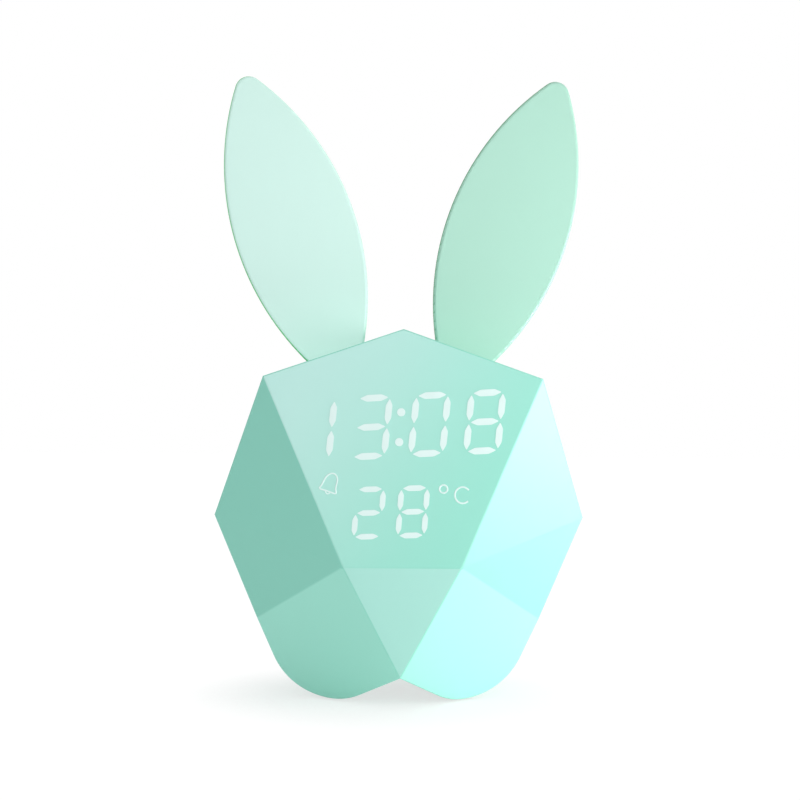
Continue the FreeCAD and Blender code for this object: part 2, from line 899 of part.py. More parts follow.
def ear_outline():
    outer = Vector(-size("ear_outer_centre_x"), size("ear_outer_centre_z"), 0)
    inner = Vector(size("ear_inner_centre_x"), size("ear_inner_centre_z"), 0)
    outer_radius, inner_radius = size("ear_outer_radius"), size("ear_inner_radius")
    tip = size("ear_tip_round")
    tip_centre = crossing(outer, outer_radius - tip, inner, inner_radius - tip)
    outer_tip = outer + (tip_centre - outer).normalize() * outer_radius
    inner_tip = inner + (tip_centre - inner).normalize() * inner_radius
    root = size("ear_root_height")
    outer_root = Vector(
        outer.x + math.sqrt(outer_radius ** 2 - (root - outer.y) ** 2), root, 0)
    inner_root = Vector(
        inner.x - math.sqrt(inner_radius ** 2 - (root - inner.y) ** 2), root, 0)
    sketch = upright_sketch("ear_outline")
    sketch.addGeometry([
        arc_between(outer, outer_radius, outer_root, outer_tip),
        arc_between(tip_centre, tip, outer_tip, inner_tip),
        arc_between(inner, inner_radius, inner_tip, inner_root),
        Part.LineSegment(inner_root, outer_root),
    ], False)
    rule = Sketcher.Constraint
    sketch.addConstraint([
        rule("Tangent", 0, 2, 1, 1),
        rule("Tangent", 1, 2, 2, 1),
        rule("Coincident", 2, 2, 3, 1),
        rule("Coincident", 3, 2, 0, 1),
        rule("Horizontal", 3),
    ])
    for name, geometry, text in (
        ("outer_radius", 0, "ear_outer_radius"),
        ("tip_radius", 1, "ear_tip_round"),
        ("inner_radius", 2, "ear_inner_radius"),
    ):
        index = sketch.addConstraint(rule("Radius", geometry, size(text)))
        sketch.renameConstraint(index, name)
        sketch.setExpression("Constraints." + name, linked(text))
    for name, kind, geometry, point, text, value in (
        ("outer_x", "DistanceX", 0, 3, "-ear_outer_centre_x", outer.x),
        ("outer_z", "DistanceY", 0, 3, "ear_outer_centre_z", outer.y),
        ("inner_x", "DistanceX", 2, 3, "ear_inner_centre_x", inner.x),
        ("inner_z", "DistanceY", 2, 3, "ear_inner_centre_z", inner.y),
        ("root", "DistanceY", 3, 1, "ear_root_height", root),
    ):
        index = sketch.addConstraint(rule(kind, -1, 1, geometry, point, value))
        sketch.renameConstraint(index, name)
        sketch.setExpression("Constraints." + name, linked(text))
    doc.recompute()
    return sketch


def edges_of_plate(item):
    half = size("ear_thickness") / 2
    root = size("ear_root_height")
    chosen = []
    for index, edge in enumerate(item.Shape.Edges, 1):
        box = edge.BoundBox
        flat = box.YLength < 1e-6 and abs(abs(box.YMin) - half) < 1e-6
        if flat and box.ZMax > root + 1e-6:
            chosen.append(index)
    return chosen


def right_ear():
    plate = extrude("ear_plate", ear_outline(), "-ear_thickness / 2", "ear_thickness / 2")
    doc.recompute()
    rounded = doc.addObject("Part::Fillet", "ear_rounded")
    rounded.Base = plate
    radius = size("ear_edge_round")
    rounded.Edges = [(index, radius, radius) for index in edges_of_plate(plate)]
    above = cut("ear_above_roof", rounded, [below_roof("ear_trim")])
    tongue = slab("ear_tongue", "tongue_centre", "-ear_thickness / 2",
                  "(tongue_bottom + apex_height - wall * 1.5) / 2", "tongue_width",
                  "ear_thickness", "apex_height - wall * 1.5 - tongue_bottom")
    return keep(fuse("right_ear", [above, tongue]), "right_ear")


def socket_box(name, spare):
    return slab(name, "tongue_centre", "-ear_thickness / 2 - tongue_clearance - (%s)" % spare,
                "(socket_bottom + apex_height) / 2", "tongue_width + 2 * tongue_clearance + 2 * (%s)"
                % spare, "ear_thickness + 2 * tongue_clearance + 2 * (%s)" % spare,
                "apex_height - socket_bottom")


def socket_gaps():
    # The lip stops short of the ear sockets
    right = socket_box("lip_gap", "socket_wall + button_clearance")
    return [right, mirror("lip_gap_mirror", right)]


def ear_sockets(outer):
    right = socket_box("ear_socket_block", "socket_wall")
    both = fuse("ear_socket_blocks", [right, mirror("ear_socket_mirror", right)])
    return common("ear_sockets", both, outer)


def ear_slots():
    right = slab("ear_slot", "tongue_centre", "-ear_thickness / 2 - tongue_clearance",
                 "apex_height / 2 + socket_bottom / 2", "tongue_width + 2 * tongue_clearance",
                 "ear_thickness + 2 * tongue_clearance", "apex_height - socket_bottom + 2 * wall")
    return [right, mirror("ear_slot_mirror", right)]


def ear_light(name, sign):
    board = slab(name + "_board", sign + "tongue_centre", "-ear_board_depth / 2",
                 "socket_bottom - board / 2", "tongue_width + 2 * socket_wall",
                 "ear_board_depth", "board")
    return keep(board, name)


def ear_leds():
    lamps = []
    for side, sign in (("right", ""), ("left", "-")):
        for index, shift in enumerate(("tongue_width / 4", "-tongue_width / 4")):
            lamps.append(slab("ear_led_%s_%d" % (side, index),
                              "%s(tongue_centre + %s)" % (sign or "1 * ", shift),
                              "-led_length", "socket_bottom + led_height", "led_length * 2",
                              "led_length * 2", "led_height * 2"))
    return keep(group("ear_leds", lamps), "ear_leds")


# Display pieces


def display(face):
    start = "window_wall"
    film = in_face(cut("diffuser_film",
                       face_prism("film_sheet", face, "film_margin", start, "film_thickness"),
                       display_rods("film_hole", "display_post + 0.3", "0", "wall * 3")))
    keep(film, "diffuser_film")
    frame_start = size("window_wall") + size("film_thickness")
    depth = size("reflector_depth")
    spare = 2 * size("segment_clearance")
    limit = face_prism("mark_limit", face, "mark_margin", "0", "wall * 6")
    doc.recompute()
    wells = computed("segment_wells", trimmed(
        time_marks(spare, frame_start - 1, depth + 2)
        + degrees_marks(spare, frame_start - 1, depth + 2)
        + icon_marks(spare, frame_start - 1, depth + 2), limit))
    block = face_prism("reflector_block", face, "frame_margin",
                       "window_wall + film_thickness", "reflector_depth")
    frame = cut("reflector_frame", block,
                [wells] + display_rods("frame_hole", "display_post + 0.3", "0", "wall * 6"))
    keep(in_face(frame), "reflector_frame")
    deep = size("segment_depth")
    for name, marks in (
        ("time_segments", time_marks(0, frame_start, deep)),
        ("temperature_segments", degrees_marks(0, frame_start, deep)),
        ("icon_segments", icon_marks(0, frame_start, deep)),
    ):
        keep(in_face(computed(name, trimmed(marks, limit))), name)
    board_start = "window_wall + film_thickness + reflector_depth"
    sheet_board = face_prism("display_sheet", face, "frame_margin", board_start, "board")
    board = cut("display_board", sheet_board,
                display_rods("display_board_hole", "display_screw + 0.3", "0", "wall * 8"))
    keep(in_face(board), "display_board")
    keep(in_face(display_leds(limit)), "display_leds")
    screws = []
    for label, rise in (("low", "display_screw_low"), ("high", "display_screw_high")):
        screws.append(screw("display_screw_" + label, "0", board_start + " + board", rise,
                            "display_screw", "display_screw_length", "display_screw * 1.9",
                            "display_screw * 0.7", ""))
    keep(in_face(group("display_screws", screws)), "display_screws")


def trimmed(marks, limit):
    # The lowest bars of the first digit end where the face does
    inside = [mark.common(limit.Shape) for mark in marks]
    return [solid for mark in inside for solid in mark.Solids]


def display_leds(limit):
    start = size("window_wall") + size("film_thickness") + size("reflector_depth")
    start -= size("led_height")
    marks = trimmed(time_marks(0, start, 1) + degrees_marks(0, start, 1), limit)
    places = [(mark.CenterOfMass, mark.BoundBox.XLength > mark.BoundBox.ZLength)
              for mark in marks]
    spare = 2 * size("segment_clearance")
    wells = trimmed(time_marks(spare, start, 1) + degrees_marks(spare, start, 1)
                    + icon_marks(spare, start, 1), limit)
    stroke = (size("celsius_outer") + size("celsius_inner")) / 2
    for x, rise in (
        (size("bell_x"), size("bell_rise")),
        (size("degree_ring_x"), size("degree_ring_rise")),
        (size("celsius_x") - stroke, size("celsius_rise")),
    ):
        places.append((Vector(x, start, rise), False))
    lamps = []
    for middle, wide in places:
        across = size("led_length") if wide else size("led_width")
        along = size("led_width") if wide else size("led_length")
        corner = Vector(middle.x - across / 2, start, middle.z - along / 2)
        lamp = Part.makeBox(across, size("led_height"), along, corner)
        # A bar cut short by the end of the face has no room for its own lamp
        if any(mark.common(lamp).Volume > lamp.Volume * 0.98 for mark in wells):
            lamps.append(lamp)
    return computed("display_leds", lamps)


# Screws: the head starts at y, and the shank runs towards the face


def screw(name, x, y, z, diameter, length, head, head_depth, drive):
    shank = rod(name + "_shank", x, "(%s) - (%s)" % (y, length), z, "(%s) - 0.5" % diameter
                if not drive else diameter, "(%s) + 0.2" % length)
    cap = rod(name + "_head", x, y, z, head, head_depth)
    whole = fuse(name + "_blank", [shank, cap])
    slots = []
    for index, (width, height) in enumerate((("(%s) * 0.6", "(%s) * 0.15"),
                                             ("(%s) * 0.15", "(%s) * 0.6"))):
        slots.append(slab("%s_slot_%d" % (name, index), x,
                          "%s + (%s) / 2" % (y, head_depth), z, width % head,
                          "(%s)" % head_depth, height % head))
    return cut(name, whole, slots)


def housing_screws():
    screws = []
    for level, (x, z) in screw_points().items():
        for side, sign in (("right", ""), ("left", "-")):
            screws.append(screw("housing_screw_%s_%s" % (level, side), sign + x,
                                "well_floor_depth", z, "screw_diameter - pilot_clearance",
                                "screw_length", "screw_head", "screw_head_depth", "cross"))
    keep(group("housing_screws", screws), "housing_screws")


def foot_pads():
    pads = [upright_rod("foot_pad_" + label, x, y, "0", "foot_diameter", "foot_height")
            for label, (x, y) in foot_places().items()]
    keep(group("foot_pads", pads), "foot_pads")


# Main board and its pieces


BOARD_BACK = "rear_depth - wall - main_board_gap"


def main_board():
    body = doc.addObject("PartDesign::Body", "main_board")
    plane = [f for f in body.Origin.OriginFeatures if f.Role == "XZ_Plane"][0]
    sketch = body.newObject("Sketcher::SketchObject", "main_board_outline")
    sketch.AttachmentSupport = [(plane, "")]
    sketch.MapMode = "FlatFace"
    half = size("main_board_width") / 2
    rise = size("main_board_height") / 2
    corners = [Vector(-half, -rise, 0), Vector(half, -rise, 0), Vector(half, rise, 0),
               Vector(-half, rise, 0)]
    rule = Sketcher.Constraint
    for index in range(4):
        sketch.addGeometry(Part.LineSegment(corners[index], corners[(index + 1) % 4]), False)
    for index in range(4):
        sketch.addConstraint(rule("Coincident", index, 2, (index + 1) % 4, 1))
        sketch.addConstraint(rule("Vertical" if index % 2 else "Horizontal", index))
    sketch.addConstraint(rule("Symmetric", 0, 1, 1, 2, -1, 1))
    for name, kind, line, value in (
        ("width", "DistanceX", 0, "main_board_width"),
        ("height", "DistanceY", 1, "main_board_height"),
    ):
        index = sketch.addConstraint(rule(kind, line, 1, line, 2, size(value)))
        sketch.renameConstraint(index, name)
        sketch.setExpression("Constraints." + name, linked(value))
    pad = body.newObject("PartDesign::Pad", "main_board_pad")
    pad.Profile = sketch
    bind(pad, Length="board")
    doc.recompute()
    holes = body.newObject("Sketcher::SketchObject", "main_board_holes")
    holes.AttachmentSupport = [(plane, "")]
    holes.MapMode = "FlatFace"
    for index, (x, z) in enumerate(((1, 1), (1, -1), (-1, 1), (-1, -1))):
        centre = Vector(x * size("board_screw_x"), z * size("board_screw_rise"), 0)
        radius = size("board_screw") / 2 + 0.15
        holes.addGeometry(Part.Circle(centre, Vector(0, 0, 1), radius), False)
        for name, kind, value in (
            ("x", "DistanceX", "%d * board_screw_x" % x),
            ("z", "DistanceY", "%d * board_screw_rise" % z),
        ):
            number = centre.x if name == "x" else centre.y
            at = holes.addConstraint(rule(kind, -1, 1, index, 3, number))
            holes.renameConstraint(at, "%s_%d" % (name, index))
            holes.setExpression("Constraints.%s_%d" % (name, index), linked(value))
        at = holes.addConstraint(rule("Radius", index, radius))
        holes.renameConstraint(at, "radius_%d" % index)
        holes.setExpression("Constraints.radius_%d" % index, linked("board_screw / 2 + 0.15"))
    pocket = body.newObject("PartDesign::Pocket", "main_board_screw_holes")
    pocket.Profile = holes
    pocket.Type = "ThroughAll"
    pocket.Midplane = True
    body.Tip = pocket
    locate(body, "0", BOARD_BACK, "main_board_centre")
    doc.recompute()
    return keep(body, "main_board")


def board_screws():
    screws = []
    for level in ("", "-"):
        for sign in ("", "-"):
            label = "%s_%s" % ("low" if level else "high", "left" if sign else "right")
            x = sign + "board_screw_x"
            z = "main_board_centre + (%sboard_screw_rise)" % level
            front = "(%s) - board" % BOARD_BACK
            shank = rod("board_screw_shank_" + label, x, front, z, "board_screw - 0.4",
                        "board_screw_length")
            head = rod("board_screw_head_" + label, x, front + " - 1.5", z,
                       "board_screw * 1.8", "1.5")
            screws.append(fuse("board_screw_" + label, [shank, head]))
    keep(group("board_screws", screws), "board_screws")


def button(name, x):
    # Turned profile: the cap outside, the flange behind the wall and the stem on the plunger
    body = doc.addObject("PartDesign::Body", name + "_button")
    plane = [f for f in body.Origin.OriginFeatures if f.Role == "XY_Plane"][0]
    sketch = body.newObject("Sketcher::SketchObject", name + "_button_profile")
    sketch.AttachmentSupport = [(plane, "")]
    sketch.MapMode = "FlatFace"
    stem = size("plunger_diameter") / 2
    cap = size("button_diameter") / 2
    flange = cap + size("button_flange_width")
    bottom = size("switch_height") + size("plunger_proud")
    top = size("main_board_gap") + size("wall") + size("button_proud")
    shelf = size("main_board_gap") - size("button_clearance")
    step = shelf - size("button_flange")
    points = [Vector(0, bottom, 0), Vector(stem, bottom, 0), Vector(stem, step, 0),
              Vector(flange, step, 0), Vector(flange, shelf, 0), Vector(cap, shelf, 0),
              Vector(cap, top, 0), Vector(0, top, 0)]
    rule = Sketcher.Constraint
    count = len(points)
    for index in range(count):
        sketch.addGeometry(Part.LineSegment(points[index], points[(index + 1) % count]), False)
    for index in range(count):
        sketch.addConstraint(rule("Coincident", index, 2, (index + 1) % count, 1))
        sketch.addConstraint(rule("Vertical" if index % 2 else "Horizontal", index))
    sketch.addConstraint(rule("PointOnObject", 0, 1, -2))
    for label, kind, line, text, value in (
        ("bottom", "DistanceY", 0, "switch_height + plunger_proud", bottom),
        ("stem", "DistanceX", 0, "plunger_diameter / 2", stem),
        ("step", "DistanceY", 2, "main_board_gap - button_clearance - button_flange", step),
        ("flange", "DistanceX", 2, "button_diameter / 2 + button_flange_width", flange),
        ("shelf", "DistanceY", 4, "main_board_gap - button_clearance", shelf),
        ("cap", "DistanceX", 4, "button_diameter / 2", cap),
        ("top", "DistanceY", 6, "main_board_gap + wall + button_proud", top),
    ):
        point = 1 if label in ("step", "shelf", "top") else 2
        index = sketch.addConstraint(rule(kind, -1, 1, line, point, value))
        sketch.renameConstraint(index, label)
        sketch.setExpression("Constraints." + label, linked(text))
    turn = body.newObject("PartDesign::Revolution", name + "_button_turned")
    turn.Profile = sketch
    turn.ReferenceAxis = (sketch, ["V_Axis"])
    turn.Angle = 360
    doc.recompute()
    rim = []
    for index, edge in enumerate(turn.Shape.Edges, 1):
        box = edge.BoundBox
        if box.YLength < 1e-6 and abs(box.YMin - top) < 1e-6 and box.XLength > cap:
            rim.append("Edge%d" % index)
    fillet = body.newObject("PartDesign::Fillet", name + "_button_round")
    fillet.Base = (turn, rim)
    bind(fillet, Radius="button_round")
    body.Tip = fillet
    locate(body, x, BOARD_BACK, "button_height")
    doc.recompute()
    return keep(body, name + "_button")


def plunger(name, x):
    item = rod(name + "_plunger", x, "%s + switch_height + plunger_proud - plunger_depth"
               % BOARD_BACK, "button_height", "plunger_diameter", "plunger_depth")
    return keep(item, name + "_plunger")


def tact_switches():
    bodies = []
    for name, x in BUTTONS.items():
        block = slab(name + "_switch_block", x, BOARD_BACK, "button_height", "switch_width",
                     "switch_height", "switch_width")
        bore = rod(name + "_switch_bore", x,
                   "%s + switch_height - 2.8" % BOARD_BACK, "button_height",
                   "plunger_diameter + 2 * plunger_clearance", "4")
        bodies.append(cut(name + "_switch", block, [bore]))
    return keep(group("tact_switches", bodies), "tact_switches")


def power_switch():
    block = slab("power_block", "slider_x + slider_travel / 2", BOARD_BACK, "slider_height",
                 "slider_body_width", "slider_body_depth", "slider_body_height")
    slot = slab("power_slot", "slider_x + slider_travel / 2",
                "%s + slider_body_depth / 2" % BOARD_BACK, "slider_height",
                "slider_stem + slider_travel + 0.6", "slider_body_depth", "slider_stem + 0.6")
    keep(cut("power_switch_body", block, [slot]), "power_switch_body")
    stem = slab("power_stem", "slider_x", "%s + slider_body_depth / 2 + 0.3" % BOARD_BACK,
                "slider_height", "slider_stem", "main_board_gap - slider_body_depth / 2",
                "slider_stem")
    knob = slab("power_knob", "slider_x", "rear_depth - wall + 0.2", "slider_height",
                "slider_knob", "wall + slider_proud - 0.2", "slider_knob_height")
    keep(fuse("power_switch_slider", [stem, knob]), "power_switch_slider")


def usb_socket():
    sleeve = slab("usb_block", "usb_x", BOARD_BACK, "usb_height", "usb_width",
                  "main_board_gap + wall - 0.1", "usb_rise")
    hollow = slab("usb_hollow", "usb_x", "%s + 1" % BOARD_BACK, "usb_height",
                  "usb_width - 2 * usb_sheet", "main_board_gap + wall", "usb_rise - 2 * usb_sheet")
    keep(cut("usb_socket", sleeve, [hollow]), "usb_socket")
    tongue = slab("usb_tongue", "usb_x", "%s + 1" % BOARD_BACK,
                  "usb_height + usb_rise / 2 - usb_sheet - usb_tongue", "usb_width * 0.5",
                  "main_board_gap - 0.5", "usb_tongue")
    keep(tongue, "usb_contacts")


def board_pieces():
    chip = slab("controller_chip", "0", BOARD_BACK, "main_board_centre + chip_rise",
                "chip_width", "chip_height", "chip_width")
    keep(chip, "controller_chip")
    crystal = upright_rod("clock_crystal", "crystal_x",
                          "%s + crystal_diameter / 2" % BOARD_BACK,
                          "main_board_centre + chip_rise - crystal_length / 2",
                          "crystal_diameter", "crystal_length")
    keep(crystal, "clock_crystal")
    sensor = upright_rod("tap_sensor", "tap_sensor_x",
                         "%s + tap_sensor_diameter / 2" % BOARD_BACK,
                         "main_board_centre + chip_rise - tap_sensor_length / 2",
                         "tap_sensor_diameter", "tap_sensor_length")
    keep(sensor, "tap_sensor")
    leg = slab("thermistor_legs", "0", BOARD_BACK, "thermistor_height", "0.6",
               "thermistor_leg + thermistor_bead / 2", "0.6")
    bead = doc.addObject("Part::Sphere", "thermistor_ball")
    bind(bead, Radius="thermistor_bead / 2")
    locate(bead, "0", "%s + thermistor_leg + thermistor_bead / 2" % BOARD_BACK,
           "thermistor_height")
    keep(fuse("thermistor", [leg, bead]), "thermistor")
    front = "(%s) - board" % BOARD_BACK
    pad = slab("battery_pad", "0", front + " - battery_pad", "main_board_centre",
               "battery_width * 0.7", "battery_pad", "battery_height * 0.7")
    keep(pad, "battery_pad")
    cell = slab("battery_block", "0", front + " - battery_pad - battery_depth",
                "main_board_centre", "battery_width", "battery_depth", "battery_height")
    doc.recompute()
    rounded = doc.addObject("Part::Fillet", "battery_cell")
    rounded.Base = cell
    radius = size("battery_round")
    rounded.Edges = [(index, radius, radius) for index, edge in enumerate(cell.Shape.Edges, 1)
                     if edge.BoundBox.XLength > 1 or edge.BoundBox.ZLength > 1]
    keep(rounded, "battery_cell")


# Speaker


def speaker():
    wall_face = "rear_depth - wall"
    gasket = cut("speaker_gasket",
                 rod("gasket_disc", "0", wall_face + " - speaker_gasket", "speaker_height",
                     "speaker_diameter", "speaker_gasket"),
                 [rod("gasket_bore", "0", wall_face + " - 2 * speaker_gasket", "speaker_height",
                      "speaker_diameter - 3", "speaker_gasket * 4")])
    keep(gasket, "speaker_gasket")
    rim_start = wall_face + " - speaker_gasket - speaker_rim"
    rim = rod("speaker_rim", "0", rim_start, "speaker_height", "speaker_diameter", "speaker_rim")
    ears = slab("speaker_ears", "0", rim_start, "speaker_height", "2 * speaker_lug + board_post",
                "speaker_rim", "board_post")
    can = rod("speaker_can", "0", rim_start + " - speaker_basket_depth", "speaker_height",
              "speaker_basket_diameter", "speaker_basket_depth + speaker_rim / 2")
    bore = rod("speaker_can_bore", "0", rim_start + " - speaker_basket_depth + speaker_sheet",
               "speaker_height", "speaker_basket_diameter - 2 * speaker_sheet",
               "speaker_basket_depth + 2 * speaker_rim")
    holes = [rod("speaker_hole_" + side, sign + "speaker_lug", rim_start + " - 1",
                 "speaker_height", "speaker_screw + 0.3", "speaker_rim + 2")
             for side, sign in (("right", ""), ("left", "-"))]
    basket = cut("speaker_basket", fuse("speaker_blank", [rim, ears, can]), [bore] + holes)
    keep(basket, "speaker_basket")
    magnet = rod("speaker_magnet", "0",
                 rim_start + " - speaker_basket_depth - speaker_magnet_depth", "speaker_height",
                 "speaker_magnet_diameter", "speaker_magnet_depth")
    keep(magnet, "speaker_magnet")
    outer = cone("cone_outer", rim_start + " - 3.4", "8", "speaker_basket_diameter - 1.8", "4.2")
    inner = cone("cone_inner", rim_start + " - 3.0", "7.4", "speaker_basket_diameter - 2.2",
                 "4.2")
    coil = rod("speaker_coil", "0", rim_start + " - speaker_basket_depth + speaker_sheet",
               "speaker_height", "7", "3.2")
    keep(fuse("speaker_cone", [cut("speaker_cone_sheet", outer, [inner]), coil]), "speaker_cone")
    screws = []
    for side, sign in (("right", ""), ("left", "-")):
        shank = rod("speaker_shank_" + side, sign + "speaker_lug", rim_start, "speaker_height",
                    "speaker_screw - 0.4", "speaker_screw_length - 1")
        head = rod("speaker_head_" + side, sign + "speaker_lug", rim_start + " - 1.4",
                   "speaker_height", "speaker_screw * 1.8", "1.4")
        screws.append(fuse("speaker_screw_" + side, [shank, head]))
    keep(group("speaker_screws", screws), "speaker_screws")


def cone(name, y, first, second, length):
    item = doc.addObject("Part::Cone", name)
    item.Placement = Placement(Vector(), ALONG_Y)
    bind(item, Radius1="(%s) / 2" % first, Radius2="(%s) / 2" % second, Height=length)
    locate(item, "0", y, "speaker_height")
    return item


# Wires


def bend_corner(before, corner, after):
    back = before - corner
    ahead = after - corner
    reach = min(size("wire_bend"), back.Length * 0.45, ahead.Length * 0.45)
    start = corner + Vector(back).normalize() * reach
    end = corner + Vector(ahead).normalize() * reach
    chord = (start + end) / 2
    half_angle = back.getAngle(ahead) / 2
    cut_short = reach * (1 - math.sin(half_angle)) / math.cos(half_angle)
    middle = corner + Vector(chord - corner).normalize() * cut_short
    return start, middle, end


def wire(points):
    corners = [Vector(*point) for point in points]
    edges = []
    last = corners[0]
    for index in range(1, len(corners) - 1):
        start, middle, end = bend_corner(*corners[index - 1:index + 2])
        edges.append(Part.makeLine(last, start))
        edges.append(Part.Arc(start, middle, end).toShape())
        last = end
    edges.append(Part.makeLine(last, corners[-1]))
    path = Part.Wire(edges)
    circle = Part.Circle(corners[0], corners[1] - corners[0], size("wire_diameter") / 2)
    return path.makePipeShell([Part.Wire([circle.toShape()])], True, False)


def wires():
    gap = size("wire_gap")
    front = (size("rear_depth") - size("wall") - size("main_board_gap") - size("board") - gap)
    middle = size("main_board_centre")
    top = middle + size("main_board_height") / 2
    lamp = size("socket_bottom") - size("board") - gap
    x = size("tongue_centre")
    ears = []
    for side in (-1, 1):
        ears.append(wire([
            (side * x, 0, lamp), (side * x, 0.2, lamp - 4), (side * (x + 3), 11, top + 12),
            (side * 20.5, 17, top + 2), (side * 20.5, front - 2, top - 1.2),
            (side * 20.5, front, top - 1.2),
        ]))
    keep(computed("ear_light_wires", ears), "ear_light_wires")
    speaker_base = (size("rear_depth") - size("wall") - size("speaker_gasket")
                    - size("speaker_rim") - size("speaker_basket_depth") - gap)
    height = size("speaker_height")
    pair = []
    for side in (-1, 1):
        pair.append(wire([
            (side * 9, speaker_base, height - 1), (side * 9, speaker_base - 2, height - 1),
            (side * 13, 15, top + 4), (side * 17, 18, top - 0.5),
            (side * 17, front - 1.5, top - 1.8), (side * 17, front, top - 1.8),
        ]))
    keep(computed("speaker_wires", pair), "speaker_wires")
    battery_side = size("battery_width") / 2 + gap
    battery_middle = front + gap - size("battery_pad") - size("battery_depth") / 2
    leads = []
    for index, rise in enumerate((3, 0)):
        level = middle + rise
        leads.append(wire([
            (battery_side, battery_middle, level), (battery_side + 0.8, battery_middle, level),
            (battery_side + 2.6, battery_middle + 1.6, level),
            (battery_side + 2.9, front - 0.8, level), (battery_side + 2.9, front, level),
        ]))
    keep(computed("battery_wires", leads), "battery_wires")
    board_back = face_placement().multVec(Vector(
        -6, size("window_wall") + size("film_thickness") + size("reflector_depth")
        + size("board") + gap, 8))
    ribbon = []
    for index in range(4):
        shift = index * 1.4
        ribbon.append(wire([
            (board_back.x + shift, board_back.y, board_back.z),
            (board_back.x + shift, board_back.y + 2, board_back.z - 0.2),
            (board_back.x + shift - 3, board_back.y + 9, board_back.z - 3),
            (board_back.x + shift - 14, 2, board_back.z - 4),
            (-26.2 + shift * 0.8, front - 8, middle - 3),
            (-26.2 + shift * 0.8, front, middle - 3),
        ]))
    keep(computed("display_wires", ribbon), "display_wires")


def build():
    fill_sheet()
    outline = head_outline()
    cavity_outline = inset("cavity_outline", outline, "wall")
    outer = head_block("head", outline, "0", 0)
    cavity = head_block("cavity", cavity_outline, "wall", size("wall"))
    face = face_outline()
    front_shell(outer, cavity, outline, face)
    rear_shell(outer, cavity, outline)
    ear = right_ear()
    keep(mirror("left_ear", ear), "left_ear")
    display(face)
    main_board()
    for name, x in BUTTONS.items():
        button(name, x)
        plunger(name, x)
    tact_switches()
    power_switch()
    usb_socket()
    board_pieces()
    board_screws()
    speaker()
    ear_light("right_ear_light_board", "")
    ear_light("left_ear_light_board", "-")
    ear_leds()
    wires()
    housing_screws()
    foot_pads()
    doc.recompute()


def check():
    for item in doc.Objects:
        if {"Invalid", "Error"} & set(item.State):
            raise RuntimeError("%s did not compute" % item.Label)
    for item in pieces:
        shape = item.Shape
        if shape.isNull() or not shape.isValid() or not shape.Solids:
            raise RuntimeError("%s has no valid solid" % item.Label)


def export():
    os.makedirs("parts", exist_ok=True)
    for item in pieces:
        item.Shape.exportStep("parts/%s.step" % item.Label)
        print(item.Label, len(item.Shape.Solids), round(item.Shape.Volume, 1))


build()
check()
export()
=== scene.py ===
import logging
import math
from dataclasses import dataclass, field
from enum import Enum
from typing import Any, Callable, Iterable

import bmesh
import bpy
from mathutils import Matrix, Vector


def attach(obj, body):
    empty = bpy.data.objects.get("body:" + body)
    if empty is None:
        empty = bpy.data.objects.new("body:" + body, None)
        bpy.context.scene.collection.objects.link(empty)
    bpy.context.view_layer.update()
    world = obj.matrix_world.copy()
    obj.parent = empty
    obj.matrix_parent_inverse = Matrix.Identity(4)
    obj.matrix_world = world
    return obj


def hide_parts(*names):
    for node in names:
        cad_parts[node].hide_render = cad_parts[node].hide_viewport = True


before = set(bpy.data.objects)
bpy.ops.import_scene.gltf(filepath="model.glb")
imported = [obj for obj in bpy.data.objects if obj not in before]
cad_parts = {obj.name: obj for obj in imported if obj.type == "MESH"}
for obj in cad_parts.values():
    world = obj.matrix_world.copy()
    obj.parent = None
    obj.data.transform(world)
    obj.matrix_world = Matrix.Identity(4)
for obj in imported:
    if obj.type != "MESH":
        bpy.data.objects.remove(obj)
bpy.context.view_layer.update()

LOG = logging.getLogger("rabbit_clock")
Colour = tuple[float, float, float]
Point = tuple[float, float, float]
Span = tuple[float, float]
MM = 0.001  # a millimetre, in metres
NEAR = 0.02  # how near counts as touching, in millimetres
SIXTH = math.radians(60)
QUARTER = math.radians(90)
WHITE = (1.0, 1.0, 1.0, 1.0)


def from_screen(red: int, green: int, blue: int) -> Colour:
    """Turns a screen colour into the linear colour that the shaders take.

    Args:
        red: Red from 0 to 255.
        green: Green from 0 to 255.
        blue: Blue from 0 to 255.

    Returns:
        The same colour in linear light.
    """
    channels = []
    for value in (red, green, blue):
        part = value / 255
        channels.append(part / 12.92 if part <= 0.04045 else ((part + 0.055) / 1.055) ** 2.4)
    return (channels[0], channels[1], channels[2])


def toned(colour: Colour, share: float) -> Colour:
    """Gives a colour made darker or paler by a share, up to white."""
    red, green, blue = (min(1.0, part * share) for part in colour)
    return (red, green, blue)


class Signal:
    """One output socket of a node tree, which takes plain arithmetic."""

    def __init__(self, graph: "Graph", socket: Any) -> None:
        """Keeps the graph and its socket."""
        self.graph = graph
        self.socket = socket

    def _math(self, operation: str, first: Any, second: Any) -> "Signal":
        """Adds one Math node for two numbers or signals."""
        return self.graph.node("ShaderNodeMath", {"operation": operation}, {0: first, 1: second})

    def __add__(self, other: Any) -> "Signal":
        """This signal plus another."""
        return self._math("ADD", self, other)

    __radd__ = __add__

    def __sub__(self, other: Any) -> "Signal":
        """This signal minus another."""
        return self._math("SUBTRACT", self, other)

    def __rsub__(self, other: Any) -> "Signal":
        """Another value minus this signal."""
        return self._math("SUBTRACT", other, self)

    def __mul__(self, other: Any) -> "Signal":
        """This signal times another."""
        return self._math("MULTIPLY", self, other)

    __rmul__ = __mul__

    def larger(self, other: Any) -> "Signal":
        """The larger of this signal and another."""
        return self._math("MAXIMUM", self, other)

    def size(self) -> "Signal":
        """This signal without its sign."""
        return self._math("ABSOLUTE", self, 0.0)

    def ramp(self, low: float, high: float) -> "Signal":
        """Zero at low, one at high, and smooth between them."""
        return self.graph.node("ShaderNodeMapRange", {"interpolation_type": "SMOOTHSTEP"},
                               {0: self, 1: low, 2: high, 3: 0.0, 4: 1.0})


